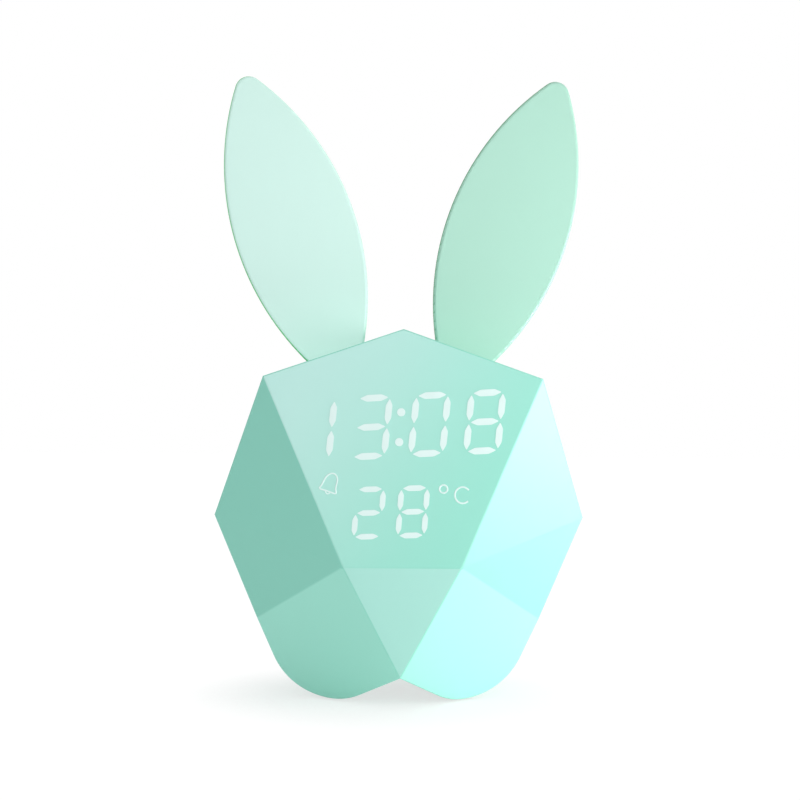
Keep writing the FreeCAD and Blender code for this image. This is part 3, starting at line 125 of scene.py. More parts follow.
class Graph:
    """The node tree of a material or of the world, under construction."""

    def __init__(self, tree: bpy.types.NodeTree) -> None:
        """Keeps the tree."""
        self.tree = tree

    def node(self, kind: str, settings: dict[str, Any], inputs: dict[Any, Any],
             output: Any = 0) -> Signal:
        """Adds any node.

        Args:
            kind: The node's type.
            settings: Its settings, which are set first.
            inputs: The values or signals of its sockets.
            output: The output socket to give back.

        Returns:
            That output as a signal.
        """
        made = self.tree.nodes.new(kind)
        for label, value in settings.items():
            setattr(made, label, value)
        for label, value in inputs.items():
            if isinstance(value, Signal):
                self.tree.links.new(value.socket, made.inputs[label])
            else:
                made.inputs[label].default_value = value
        return Signal(self, made.outputs[output])

    def looked_at(self) -> Signal:
        """Tells the rays that look at something from those that light it.

        Returns:
            One for camera, glossy and transmission rays, and zero for others.
        """
        camera, glossy, through = (self.node("ShaderNodeLightPath", {}, {}, "Is %s Ray" % kind)
                                   for kind in ("Camera", "Glossy", "Transmission"))
        return camera.larger(glossy).larger(through)

    def mix(self, mask: Signal, first: Signal, second: Signal) -> Signal:
        """Mixes two shaders by a mask."""
        return self.node("ShaderNodeMixShader", {}, {0: mask, 1: first, 2: second})

    def show(self, output: str, shown: Signal) -> None:
        """Links a shader to the tree's output node."""
        self.tree.links.new(shown.socket, self.tree.nodes[output].inputs["Surface"])


class Shader(Graph):
    """A material under construction, with one Principled shader."""

    def __init__(self, name: str, **sockets: Any) -> None:
        """Makes the material.

        Args:
            name: The material's name.
            **sockets: Uniform values of the Principled shader, with _ for a space.
        """
        self.material = bpy.data.materials.new(name)
        self.material.use_nodes = True
        super().__init__(self.material.node_tree)
        self.surface = self.tree.nodes["Principled BSDF"]
        for label, value in sockets.items():
            self.surface.inputs[label.replace("_", " ")].default_value = value

    def place(self) -> Signal:
        """The point on the surface, in the row frame."""
        return self.node("ShaderNodeTexCoord", {}, {}, "Object")

    def axis(self, index: int) -> Signal:
        """One coordinate of the point on the surface: 0 for x, 1 for y and 2 for z."""
        return self.node("ShaderNodeSeparateXYZ", {}, {0: self.place()}, index)

    def facing(self, index: int) -> Signal:
        """One part of the direction that the surface faces, in the row frame."""
        normal = self.node("ShaderNodeNewGeometry", {}, {}, "Normal")
        return self.node("ShaderNodeSeparateXYZ", {}, {0: normal}, index)

    def noise(self, scale: float, detail: float = 2.0, stretch: Point = (1, 1, 1)) -> Signal:
        """A noise over the surface.

        Args:
            scale: How many waves fit in a metre.
            detail: How many finer layers it has.
            stretch: How the pattern is stretched along each axis.

        Returns:
            The noise, from zero to one.
        """
        moved = self.node("ShaderNodeMapping", {}, {"Vector": self.place(), "Scale": stretch})
        return self.node("ShaderNodeTexNoise", {},
                         {"Vector": moved, "Scale": scale, "Detail": detail}, "Fac")

    def blend(self, mask: Any, low: Any, high: Any) -> Signal:
        """Mixes two colours, or signals of colour, by a mask."""
        low, high = (end if isinstance(end, Signal) else (*end, 1) for end in (low, high))
        return self.node("ShaderNodeMix", {"data_type": "RGBA"}, {0: mask, 6: low, 7: high}, 2)

    def roughen(self, pattern: Signal, middle: float, swing: float) -> None:
        """Lets the roughness swing about its middle as a pattern does."""
        self.feed("Roughness", pattern * swing + (middle - swing / 2))

    def bump(self, height: Signal, depth: float) -> None:
        """Gives the surface a fine relief of that depth in metres."""
        self.feed("Normal", self.node("ShaderNodeBump", {}, {
            "Height": height, "Distance": depth, "Strength": 1.0}))

    def feed(self, label: str, signal: Signal) -> None:
        """Links a signal to one of the Principled shader's sockets."""
        self.tree.links.new(signal.socket, self.surface.inputs[label])


@dataclass(frozen=True)
class MouldedPlastic:
    """A moulded plastic with a fine spark-eroded grain."""

    name: str
    colour: Colour
    roughness: float = 0.42
    swing: float = 0.08
    cloud: float = 38.0
    grain: float = 2600.0
    depth: float = 0.00001
    darkest: float = 0.94

    def make(self) -> bpy.types.Material:
        """Builds the material.

        Returns:
            The finished material.
        """
        shader = Shader(self.name, IOR=1.46)
        grain = shader.noise(self.grain)
        shader.feed("Base Color", shader.blend(
            shader.noise(self.cloud), toned(self.colour, self.darkest), self.colour))
        shader.roughen(grain, self.roughness, self.swing)
        shader.bump(grain, self.depth)
        return shader.material


@dataclass(frozen=True)
class ShellPlastic:
    """The housing's satin plastic, with painted light: a painted sheen on the thin front face that
    grows paler towards its upper left, and painted bounce light that makes the chin and the lobes
    paler.

    A lean is the part of the surface's direction that points forward or down, and each pair is
    the range over which one tone gives way to the next.
    """

    name: str = "mint_shell_plastic"
    colour: Colour = from_screen(138, 216, 197)
    # The colour of the painted sheen on the front face and of the painted bounce light on the
    # chin.
    painted_light_colour: Colour = from_screen(182, 228, 220)
    # The colour of the painted bounce light on the lobes.
    painted_bounce_colour: Colour = from_screen(162, 234, 216)
    face_lean: Span = (0.93, 0.96)
    chin_lean: Span = (0.1, 0.2)
    bounce_lean: Span = (0.28, 0.42)
    chin_painted_light: float = 0.6
    rise_weight: float = 0.55
    across_weight: float = 0.75
    sheen_reach: Span = (0.008, 0.078)
    cloud: float = 22.0
    cloud_share: float = 0.08
    roughness: float = 0.445
    swing: float = 0.07
    specular: float = 0.8
    grain: float = 2400.0
    depth: float = 0.000008

    def make(self) -> bpy.types.Material:
        """Builds the material.

        Returns:
            The finished material.
        """
        shader = Shader(self.name, IOR=1.5, Specular_IOR_Level=self.specular)
        forward, down = 0 - shader.facing(1), 0 - shader.facing(2)
        # Painted bounce light: the chin, which faces down, takes part of the painted light colour.
        chin = down.ramp(*self.chin_lean)
        # Painted sheen: the front face turns paler towards its upper left.
        lit = shader.axis(2) * self.rise_weight - shader.axis(0) * self.across_weight
        painted_sheen = lit.ramp(*self.sheen_reach) + shader.noise(self.cloud) * self.cloud_share
        face = (1 - chin) * painted_sheen + chin * self.chin_painted_light
        # Painted bounce light: surfaces that face down, such as the lobes, turn paler.
        sides = shader.blend(down.ramp(*self.bounce_lean), self.colour, self.painted_bounce_colour)
        shader.feed("Base Color", shader.blend(forward.ramp(*self.face_lean) * face, sides,
                                               self.painted_light_colour))
        grain = shader.noise(self.grain)
        shader.roughen(grain, self.roughness, self.swing)
        shader.bump(grain, self.depth)
        return shader.material


@dataclass(frozen=True)
class EarAcrylic:
    """Dyed see-through acrylic of an ear. It is deeper green where light leaves through its edge,
    and deeper still on the rims that face left, which is painted shade. Its glow is strongest at
    the root, partly from the LEDs there and partly as painted light over the shade that the head
    casts there.
    """

    name: str
    colour: Colour
    rim_dye_and_shade_colour: Colour
    glow: float
    flat_lean: Span = (0.45, 0.93)
    shade_side_lean: Span = (-0.3, 0.4)
    right_edge: float = 0.15
    length: Span = (0.09, 0.17)
    root_glow_reach: Span = (0.09, 0.12)
    far_glow: float = 0.35
    tip_tone: float = 1.08
    tip_share: float = 0.35
    cloud: float = 30.0
    cloud_share: float = 0.2
    transmission: float = 0.12
    roughness: float = 0.25
    swing: float = 0.06
    grain: float = 900.0
    depth: float = 0.000003

    def make(self) -> bpy.types.Material:
        """Builds the material.

        Returns:
            The finished material.
        """
        shader = Shader(self.name, IOR=1.49, Transmission_Weight=self.transmission,
                        Emission_Strength=self.glow)
        rim = 1 - shader.facing(1).size().ramp(*self.flat_lean)
        # Painted shade: rims that face left take the deep green in full, and rims that face right
        # take only a small share of it.
        left = (0 - shader.facing(0)).ramp(*self.shade_side_lean)
        edge = rim * (left * (1 - self.right_edge) + self.right_edge)
        rise = shader.axis(2).ramp(*self.length)
        # Glow strongest at the root: partly the LEDs there, and partly painted light over the
        # shade that the head casts on the root.
        led_and_painted_glow = 1 - shader.axis(2).ramp(*self.root_glow_reach)
        cloud = shader.noise(self.cloud)
        body = shader.blend(rise * self.tip_share + cloud * self.cloud_share, self.colour,
                            toned(self.colour, self.tip_tone))
        shader.feed("Base Color", shader.blend(edge, body, self.rim_dye_and_shade_colour))
        inner = shader.blend(led_and_painted_glow * (1 - self.far_glow) + self.far_glow, (0.0, 0.0, 0.0),
                             self.colour)
        shader.feed("Emission Color", shader.blend(edge, inner, self.rim_dye_and_shade_colour))
        shader.roughen(cloud, self.roughness, self.swing)
        shader.bump(shader.noise(self.grain, detail=1.0), self.depth)
        return shader.material


@dataclass(frozen=True)
class GlowResin:
    """Resin that shines from the lamps behind it."""

    name: str
    colour: Colour
    strength: float
    cloud: float = 260.0
    palest: float = 1.06

    def make(self) -> bpy.types.Material:
        """Builds the material.

        Returns:
            The finished material.
        """
        shader = Shader(self.name, Roughness=0.4, Emission_Strength=self.strength)
        tone = shader.blend(shader.noise(self.cloud), self.colour, toned(self.colour, self.palest))
        shader.feed("Base Color", tone)
        shader.feed("Emission Color", tone)
        return shader.material


@dataclass(frozen=True)
class Metal:
    """A plated or drawn metal with fine marks of its making."""

    name: str
    colour: Colour
    roughness: float = 0.3
    stretch: Point = (1, 1, 8)
    swing: float = 0.2
    marks: float = 900.0
    depth: float = 0.000006
    darkest: float = 0.86

    def make(self) -> bpy.types.Material:
        """Builds the material.

        Returns:
            The finished material.
        """
        shader = Shader(self.name, Metallic=1.0)
        marks = shader.noise(self.marks, detail=4.0, stretch=self.stretch)
        shader.feed("Base Color", shader.blend(marks, toned(self.colour, self.darkest),
                                               self.colour))
        shader.roughen(marks, self.roughness, self.swing)
        shader.bump(marks, self.depth)
        return shader.material


@dataclass(frozen=True)
class BoardLaminate:
    """Green solder mask over copper tracks."""

    name: str = "board_laminate"
    colour: Colour = (0.012, 0.13, 0.06)
    track: Colour = (0.03, 0.22, 0.1)
    cells: float = 220.0
    gap: float = 0.035
    roughness: float = 0.35
    swing: float = 0.1
    depth: float = 0.00002

    def make(self) -> bpy.types.Material:
        """Builds the material.

        Returns:
            The finished material.
        """
        shader = Shader(self.name, IOR=1.5)
        upright = shader.node("ShaderNodeMapping", {}, {"Vector": shader.place(),
                                                        "Rotation": (QUARTER, 0, 0)})
        cells = shader.node("ShaderNodeTexBrick", {"offset": 0.35, "squash": 1.4},
                            {"Vector": upright, "Scale": self.cells, "Mortar Size": self.gap},
                            "Fac")
        shader.feed("Base Color", shader.blend(cells, self.colour, self.track))
        shader.roughen(cells, self.roughness, self.swing)
        shader.bump(cells, self.depth)
        return shader.material


@dataclass(frozen=True)
class SoftCell:
    """A matt material with open cells or fibres, such as foam or pressed paper."""

    name: str
    colour: Colour
    scale: float = 1400.0
    depth: float = 0.00008
    roughness: float = 0.85
    swing: float = 0.2
    darkest: float = 0.55

    def make(self) -> bpy.types.Material:
        """Builds the material.

        Returns:
            The finished material.
        """
        shader = Shader(self.name, IOR=1.4)
        cells = shader.node("ShaderNodeTexVoronoi", {}, {"Vector": shader.place(),
                                                         "Scale": self.scale}, "Distance")
        shader.feed("Base Color", shader.blend(cells, toned(self.colour, self.darkest),
                                               self.colour))
        shader.roughen(cells, self.roughness, self.swing)
        shader.bump(cells, self.depth)
        return shader.material


class Finish(Enum):
    """The finishes of this clock's pieces."""

    SHELL = ShellPlastic()
    # The two ears are one acrylic in two copies: the left copy is paler and glows more, as painted
    # light, and the right copy is darker and glows less, as painted shade.
    LEFT_EAR = EarAcrylic("left_ear_acrylic_painted_light", from_screen(205, 236, 228),
                          from_screen(62, 176, 96), 0.26)
    RIGHT_EAR = EarAcrylic("right_ear_acrylic_painted_shade", from_screen(172, 219, 201),
                           from_screen(44, 142, 80), 0.1)
    BUTTON = MouldedPlastic("mint_key_plastic", from_screen(126, 196, 176), 0.4)
    LIT_MARK = GlowResin("lit_mark", from_screen(204, 223, 220), 0.15)
    SEGMENT = GlowResin("segment_resin", from_screen(222, 240, 234), 0.1)
    REFLECTOR = MouldedPlastic("white_reflector", from_screen(236, 238, 234), 0.5)
    FILM = MouldedPlastic("diffuser_film_white", from_screen(232, 240, 238), 0.6)
    BLACK = MouldedPlastic("black_nylon", from_screen(34, 35, 38), 0.5)
    LAMP = GlowResin("lamp_phosphor", from_screen(240, 226, 150), 0.1)
    STEEL = Metal("zinc_steel", (0.56, 0.57, 0.59), 0.34)
    TIN = Metal("tinned_metal", (0.66, 0.67, 0.69), 0.28, (8, 1, 1))
    FOIL = Metal("cell_foil", (0.6, 0.62, 0.65), 0.4, (3, 3, 3))
    MAGNET = Metal("nickel_magnet", (0.42, 0.43, 0.45), 0.35)
    BOARD = BoardLaminate()
    FOAM = SoftCell("black_foam", from_screen(44, 45, 48))
    PAPER = SoftCell("cone_paper", from_screen(52, 49, 46), 2600.0, 0.00003)
    SILICONE = MouldedPlastic("mint_silicone", from_screen(200, 232, 222), 0.62)
    RED_WIRE = MouldedPlastic("red_sleeve", from_screen(168, 40, 40), 0.45)
    GREY_WIRE = MouldedPlastic("grey_sleeve", from_screen(138, 142, 148), 0.45)
    PRINT = MouldedPlastic("white_print", from_screen(226, 242, 238), 0.55)


class Paint:
    """Makes each finish once and gives it to the pieces."""

    made: dict[Finish, bpy.types.Material] = {}

    @classmethod
    def on(cls, piece: bpy.types.Object, finish: Finish) -> None:
        """Gives one finish to the whole piece.

        Args:
            piece: The mesh object.
            finish: Its finish.
        """
        if finish not in cls.made:
            cls.made[finish] = finish.value.make()
        material = cls.made[finish]
        if not piece.material_slots:
            piece.data.materials.append(material)
        for slot in piece.material_slots:
            slot.material = material
        LOG.info("%s: %s", piece.name, material.name)


class Bench:
    """The modelling tools that every sub-assembly uses."""

    weld: float = 0.002
    flat_turn: float = 0.4

    @staticmethod
    def clear() -> None:
        """Leaves nothing selected, in object mode."""
        if bpy.context.object and bpy.context.object.mode != "OBJECT":
            bpy.ops.object.mode_set(mode="OBJECT")
        bpy.ops.object.select_all(action="DESELECT")

    @classmethod
    def pick(cls, *pieces: bpy.types.Object) -> None:
        """Selects only some pieces, and makes the first one active.

        Args:
            *pieces: The pieces.
        """
        cls.clear()
        for piece in pieces:
            piece.select_set(True)
        bpy.context.view_layer.objects.active = pieces[0]

    @classmethod
    def edit(cls, piece: bpy.types.Object) -> None:
        """Opens a piece in edit mode with all of it selected.

        Args:
            piece: The mesh object.
        """
        cls.pick(piece)
        bpy.ops.object.mode_set(mode="EDIT")
        bpy.ops.mesh.select_all(action="SELECT")

    @classmethod
    def settle(cls, piece: bpy.types.Object, name: str) -> bpy.types.Object:
        """Names a piece and leaves it at the origin, with its place and turn in its mesh.

        Args:
            piece: The mesh object.
            name: Its name.

        Returns:
            The same piece.
        """
        piece.name = name
        cls.pick(piece)
        bpy.ops.object.transform_apply(location=True, rotation=True, scale=True)
        return piece

    @classmethod
    def join(cls, pieces: list[bpy.types.Object], name: str) -> bpy.types.Object:
        """Joins pieces into one and names it.

        Args:
            pieces: The pieces, of which there are at least two.
            name: The name of the whole.

        Returns:
            The whole.
        """
        cls.pick(*pieces)
        bpy.ops.object.join()
        joined = bpy.context.object
        joined.name = name
        joined.data.name = name
        return joined

    @classmethod
    def copy_node(cls, node: str, name: str,
                  flat: Callable[[Any], bool] | None = None) -> bpy.types.Object:
        """Copies a CAD node's mesh and merges its loose triangles into flat faces.

        Args:
            node: The CAD node.
            name: The copy's name.
            flat: The test on a bmesh face that may merge, or None for all of them.

        Returns:
            The copy, with no parent and no material.
        """
        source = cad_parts[node]
        cls.clear()
        copied = bpy.data.objects.new(name, source.data.copy())
        bpy.context.scene.collection.objects.link(copied)
        copied.data.materials.clear()
        cls.edit(copied)
        bpy.ops.mesh.remove_doubles(threshold=cls.weld * MM)
        if flat:
            mesh = bmesh.from_edit_mesh(copied.data)
            for face in mesh.faces:
                face.select_set(flat(face))
            bmesh.update_edit_mesh(copied.data)
        bpy.ops.mesh.dissolve_limited(angle_limit=math.radians(cls.flat_turn))
        bpy.ops.object.mode_set(mode="OBJECT")
        return copied

    @classmethod
    def bevel_edges(cls, piece: bpy.types.Object, chosen: Callable[[Any], bool],
                    width: float, segments: int = 3) -> int:
        """Rounds the edges that a test picks out.

        Args:
            piece: The mesh object.
            chosen: The test on a bmesh edge.
            width: The width of the rounding, in millimetres.
            segments: How many faces it has.

        Returns:
            How many edges were rounded.
        """
        cls.edit(piece)
        bpy.ops.mesh.select_all(action="DESELECT")
        bpy.ops.mesh.select_mode(type="EDGE")
        mesh = bmesh.from_edit_mesh(piece.data)
        count = 0
        for edge in mesh.edges:
            if chosen(edge):
                edge.select = True
                count += 1
        bmesh.update_edit_mesh(piece.data)
        if count:
            bpy.ops.mesh.bevel(offset=width * MM, segments=segments, affect="EDGES",
                               clamp_overlap=False, profile=0.5)
        bpy.ops.object.mode_set(mode="OBJECT")
        return count

    @classmethod
    def smooth(cls, piece: bpy.types.Object, angle: float) -> None:
        """Shades a piece smooth up to an angle, with its flat faces kept flat.

        Args:
            piece: The mesh object.
            angle: The turn between two faces, in degrees, above which an edge stays sharp.
        """
        cls.pick(piece)
        bpy.ops.object.shade_smooth_by_angle(angle=math.radians(angle))
        weighted = piece.modifiers.new("flat_faces", "WEIGHTED_NORMAL")
        weighted.keep_sharp = True
        bpy.ops.object.modifier_apply(modifier=weighted.name)


def outward_corner(edge: Any, least: float, most: float = math.inf) -> bool:
    """Tells whether a bmesh edge is a convex corner that turns by least to most degrees."""
    return len(edge.link_faces) == 2 and (
        math.radians(least) < edge.calc_face_angle_signed(0.0) <= math.radians(most))


@dataclass
class Plane:
    """One outer plane of the head, from three of its points in millimetres."""

    first: Point
    second: Point
    third: Point
    spare: float = 0.03

    def normal(self) -> Vector:
        """Gives the direction that the plane faces, by the order of its points."""
        start = Vector(self.first)
        return (Vector(self.second) - start).cross(Vector(self.third) - start).normalized()

    def rise(self, point: Vector) -> float:
        """Gives how far a point in metres stands in front of the plane, in millimetres."""
        return self.normal().dot(point / MM - Vector(self.first))

    def holds(self, point: Vector) -> bool:
        """Tells whether a point in metres lies on this plane."""
        return abs(self.rise(point)) < self.spare


@dataclass
class Housing:
    """The two shells of the head, with their facets' edges rounded."""

    edge_round: float = 0.4
    ridge_turn: Span = (1.2, 88.0)
    seam_round: float = 0.3
    seam_turn: float = 40.0
    sharp_turn: float = 24.0
    parting: float = -4.0
    rear: float = 32.0
    apex: Point = (0.0, -27.44, 102.75)
    shoulder: Point = (37.6, -28.582, 89.7)
    foot: Point = (15.8, -33.0, 39.2)
    cheek: Point = (51.55, -9.2, 51.4)
    jaw: Point = (39.45, -8.5, 22.8)
    notch: Point = (0.0, -26.0, 8.7)
    bevel_start: float = 12.0
    bevel_corner: Point = (38.66, 32.0, 51.73)
    most_proud: float = 1.0
    planes: list[Plane] = field(default_factory=list)

    def __post_init__(self) -> None:
        """Lists the outer planes of the right half: those of the front, the sides and the rear."""
        foot_left = (-self.foot[0], self.foot[1], self.foot[2])
        self.planes = [
            Plane(self.apex, self.shoulder, self.foot),
            Plane(foot_left, self.foot, self.notch),
            Plane(self.shoulder, self.cheek, self.foot),
            Plane(self.cheek, self.jaw, self.foot),
            Plane(self.jaw, self.foot, self.notch),
        ]
        for first, second in ((self.apex, self.shoulder), (self.shoulder, self.cheek),
                              (self.cheek, self.jaw)):
            self.planes.append(Plane(first, second, (second[0], self.rear, second[2])))
        self.planes.append(Plane(*((corner[0], self.rear, corner[2])
                                   for corner in (self.apex, self.shoulder, self.foot))))

    def on_skin(self, points: Iterable[Vector]) -> bool:
        """Tells whether points in metres all lie on one outer plane of the head."""
        folded = [Vector((abs(point.x), point.y, point.z)) for point in points]
        return any(all(plane.holds(point) for point in folded) for plane in self.planes)

    def at_parting(self, point: Vector) -> bool:
        """Tells whether a point in metres lies on the plane where the shells meet."""
        return abs(point.y / MM - self.parting) < NEAR

    def flat_face(self, face: Any) -> bool:
        """Tells whether a bmesh face is part of one of the head's outer planes."""
        return self.on_skin(vertex.co for vertex in face.verts)

    def facet_edge(self, edge: Any) -> bool:
        """Tells whether a bmesh edge is a ridge between two of the head's facets."""
        ends = [vertex.co for vertex in edge.verts]
        return (outward_corner(edge, *self.ridge_turn) and not any(map(self.at_parting, ends))
                and self.on_skin(ends))

    def seam_edge(self, edge: Any) -> bool:
        """Tells whether a bmesh edge runs round the outside at the parting line."""
        ends = [vertex.co for vertex in edge.verts]
        return (outward_corner(edge, self.seam_turn) and all(map(self.at_parting, ends))
                and self.on_skin(ends))

    def press_flush(self, shell: bpy.types.Object) -> int:
        """Presses the walls of the lower screw wells flush with the rear bevels.

        Args:
            shell: The copy of the rear shell.

        Returns:
            How many corners were moved.
        """
        bevel = Plane((self.cheek[0], self.bevel_start, self.cheek[2]),
                      (self.jaw[0], self.bevel_start, self.jaw[2]), self.bevel_corner)
        proud = []
        for vertex in shell.data.vertices:
            place = vertex.co
            rise = bevel.rise(Vector((abs(place.x), place.y, place.z)))
            if NEAR < rise < self.most_proud and place.z < self.jaw[2] * MM:
                way = bevel.normal() * -rise * MM
                way.x = math.copysign(1.0, place.x) * way.x
                proud.append((vertex.index, way))
        Bench.edit(shell)
        bpy.ops.mesh.select_mode(type="VERT")
        for index, way in proud:
            bpy.ops.mesh.select_all(action="DESELECT")
            mesh = bmesh.from_edit_mesh(shell.data)
            mesh.verts.ensure_lookup_table()
            mesh.verts[index].select_set(True)
            bmesh.update_edit_mesh(shell.data)
            bpy.ops.transform.translate(value=way)
        bpy.ops.object.mode_set(mode="OBJECT")
        return len(proud)

    def build(self) -> None:
        """Models both shells on copies of the CAD solids and dresses them."""
        for node in ("front_shell", "rear_shell"):
            shell = Bench.copy_node(node, node + "_skin", self.flat_face)
            if node == "rear_shell":
                LOG.info("%s: %d corners pressed flush", shell.name, self.press_flush(shell))
            ridges = Bench.bevel_edges(shell, self.facet_edge, self.edge_round)
            seams = Bench.bevel_edges(shell, self.seam_edge, self.seam_round, 2)
            Bench.smooth(shell, self.sharp_turn)
            Paint.on(shell, Finish.SHELL)
            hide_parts(node)
            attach(shell, "housing")
            LOG.info("%s: %d ridges and %d seam edges rounded", shell.name, ridges, seams)


@dataclass
class Ears:
    """The two leaf-shaped night-light ears."""

    sharp_turn: float = 40.0

    def build(self) -> None:
        """Dresses a smoothed copy of each ear."""
        for side, finish in (("left", Finish.LEFT_EAR), ("right", Finish.RIGHT_EAR)):
            node = side + "_ear"
            ear = Bench.copy_node(node, side + "_ear_plate")
            Bench.smooth(ear, self.sharp_turn)
            Paint.on(ear, finish)
            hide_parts(node)
            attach(ear, "housing")


class Digit(Enum):
    """The bars that are lit for each digit, from a at the top round to g in the middle."""

    ZERO = "abcdef"
    ONE = "bc"
    TWO = "abged"
    THREE = "abgcd"
    EIGHT = "abcdefg"


@dataclass
class Row:
    """One row of lit digits, in millimetres and degrees on the face."""

    name: str
    digits: list[tuple[Digit, float]]
    x: float
    rise: float
    height: float
    width: float
    bar: float
    slant: float
    tilt: float
    gap_share: float = 0.4

    def bars(self) -> Iterable[tuple[str, float, float, float, bool]]:
        """Lists the bars of a digit.

        Returns:
            The name, x, height and length of each, and whether it stands upright.
        """
        gap = self.bar * self.gap_share
        across, along = self.width - gap, self.height / 2 - gap
        side, half, quarter = self.width / 2, self.height / 2, self.height / 4
        return (
            ("a", 0, half, across, False), ("g", 0, 0, across, False),
            ("d", 0, -half, across, False), ("f", -side, quarter, along, True),
            ("b", side, quarter, along, True), ("e", -side, -quarter, along, True),
            ("c", side, -quarter, along, True),
        )


@dataclass(frozen=True)
class Line:
    """A thin lit line through points on the face: x and the rise up it, in millimetres."""

    name: str
    thickness: float
    closed: bool
    points: list[Span]


def around(centre: Span, radii: Span, turns: range) -> list[Span]:
    """Lists points round an ellipse.

    Args:
        centre: Its centre.
        radii: Its radius across and its radius upward.
        turns: The turn of each point, in degrees.

    Returns:
        The points.
    """
    return [(centre[0] + radii[0] * math.cos(math.radians(turn)),
             centre[1] + radii[1] * math.sin(math.radians(turn))) for turn in turns]


@dataclass
class Display:
    """The lit marks that show through the face."""

    foot_height: float = 39.2
    foot_depth: float = -33.0
    lean: float = 5.0
    proud: float = 0.06
    tip_round: float = 0.2
    time: Row = field(default_factory=lambda: Row(
        name="time", digits=[(Digit.ONE, -22.6), (Digit.THREE, -7.8), (Digit.ZERO, 7.8),
                             (Digit.EIGHT, 22.6)],
        x=-0.74, rise=37.7, height=15.5, width=8.45, bar=1.8, slant=8.6, tilt=3.3))
    degrees: Row = field(default_factory=lambda: Row(
        name="temperature", digits=[(Digit.TWO, -5.95), (Digit.EIGHT, 5.75)],
        x=-3.05, rise=14.6, height=12.5, width=6.9, bar=1.5, slant=6.0, tilt=2.0))
    colon: tuple[Span, ...] = ((-0.55, 41.3), (-1.04, 33.3))
    dot_radius: float = 1.1
    dot_corners: int = 32
    lines: list[Line] = field(default_factory=lambda: [
        Line("degree_mark", 0.44, True, around((10.85, 20.9), (1.15, 1.15), range(0, 360, 45))),
        Line("celsius_mark", 0.46, False, around((15.95, 19.3), (2.1, 2.2), range(38, 336, 23))),
        Line("bell_mark", 0.4, True, [
            (-22.4, 20.75), (-21.6, 21.6), (-21.1, 22.7), (-20.3, 24.1), (-19.1, 24.9),
            (-17.8, 24.6), (-17.3, 23.2), (-17.6, 21.9), (-17.9, 20.7), (-17.6, 19.2),
            (-19.2, 19.8), (-20.6, 20.3)]),
        Line("bell_clapper_mark", 0.32, False, [
            (-20.55, 20.1), (-20.35, 19.45), (-19.8, 19.3), (-19.35, 19.7)]),
    ])

    def on_face(self, x: float = 0.0, rise: float = 0.0) -> Matrix:
        """The place of a point on the face: x to the right, y into the clock and z up the face."""
        return (Matrix.Translation((0, self.foot_depth * MM, self.foot_height * MM))
                @ Matrix.Rotation(-math.radians(self.lean), 4, "X")
                @ Matrix.Translation((x * MM, 0, rise * MM)))

    def bar(self, length: float, thickness: float) -> bpy.types.Object:
        """Models one pointed bar, lying along x at the origin.

        Args:
            length: From point to point, in millimetres.
            thickness: Its thickness, in millimetres.

        Returns:
            The bar.
        """
        Bench.clear()
        # A hexagon 1 mm from point to point is turned to point along x, and then stretched.
        bpy.ops.mesh.primitive_cylinder_add(vertices=6, radius=MM / 2, depth=self.proud * 2 * MM,
                                            rotation=(QUARTER, 0, 0))
        made = bpy.context.object
        bpy.ops.object.transform_apply(location=False, rotation=True, scale=False)
        Bench.edit(made)
        bpy.ops.transform.rotate(value=SIXTH / 2, orient_axis="Y", center_override=(0, 0, 0))
        bpy.ops.transform.resize(value=(length, 1, thickness / math.sin(SIXTH)),
                                 center_override=(0, 0, 0))
        bpy.ops.object.mode_set(mode="OBJECT")
        Bench.bevel_edges(made, lambda edge: abs(edge.verts[0].co.y - edge.verts[1].co.y)
                          > self.proud * MM, self.tip_round * thickness)
        return made

    def row(self, row: Row) -> list[bpy.types.Object]:
        """Models a row of digits.

        Args:
            row: The row.

        Returns:
            One object for each digit.
        """
        digits = []
        tilt = Matrix.Rotation(-math.radians(row.tilt), 4, "Y")
        slant = Matrix.Identity(4)
        slant[0][2] = math.tan(math.radians(row.slant))
        origin = self.on_face(row.x, row.rise)
        for index, (digit, offset) in enumerate(row.digits):
            parts = []
            for name, x, z, length, upright in row.bars():
                if name not in digit.value:
                    continue
                part = self.bar(length, row.bar)
                turn = Matrix.Rotation(QUARTER, 4, "Y") if upright else Matrix()
                part.data.transform(
                    origin @ tilt @ Matrix.Translation((offset * MM, 0, 0)) @ slant
                    @ Matrix.Translation((x * MM, 0, z * MM)) @ turn)
                parts.append(part)
            digits.append(Bench.join(parts, "%s_digit_%d" % (row.name, index + 1)))
        return digits

    def disc(self, x: float, rise: float, name: str) -> bpy.types.Object:
        """Models a round lit dot on the face.

        Args:
            x: Its place across, in millimetres.
            rise: Its place up the face, in millimetres.
            name: The object's name.

        Returns:
            The dot.
        """
        Bench.clear()
        bpy.ops.mesh.primitive_cylinder_add(
            vertices=self.dot_corners, radius=self.dot_radius * MM, depth=self.proud * 2 * MM,
            rotation=(QUARTER, 0, 0))
        dot = Bench.settle(bpy.context.object, name)
        dot.data.transform(self.on_face(x, rise))
        return dot

    def line(self, line: Line) -> bpy.types.Object:
        """Models a thin lit line.

        Args:
            line: The line.

        Returns:
            The line as a flat mesh.
        """
        Bench.clear()
        curve = bpy.data.curves.new(line.name, "CURVE")
        curve.dimensions = "3D"
        spline = curve.splines.new("NURBS")
        spline.points.add(len(line.points) - 1)
        for target, (x, z) in zip(spline.points, line.points):
            target.co = (x * MM, 0, z * MM, 1)
        spline.order_u = 3
        spline.use_cyclic_u = line.closed
        spline.use_endpoint_u = not line.closed
        spline.resolution_u = 6
        curve.bevel_depth = line.thickness / 2 * MM
        curve.bevel_resolution = 2
        made = bpy.data.objects.new(line.name, curve)
        bpy.context.scene.collection.objects.link(made)
        Bench.pick(made)
        bpy.ops.object.convert(target="MESH")
        made = bpy.context.object
        flat = Matrix.Diagonal((1, self.proud * 2 / line.thickness, 1, 1))
        made.data.transform(self.on_face() @ flat)
        return made

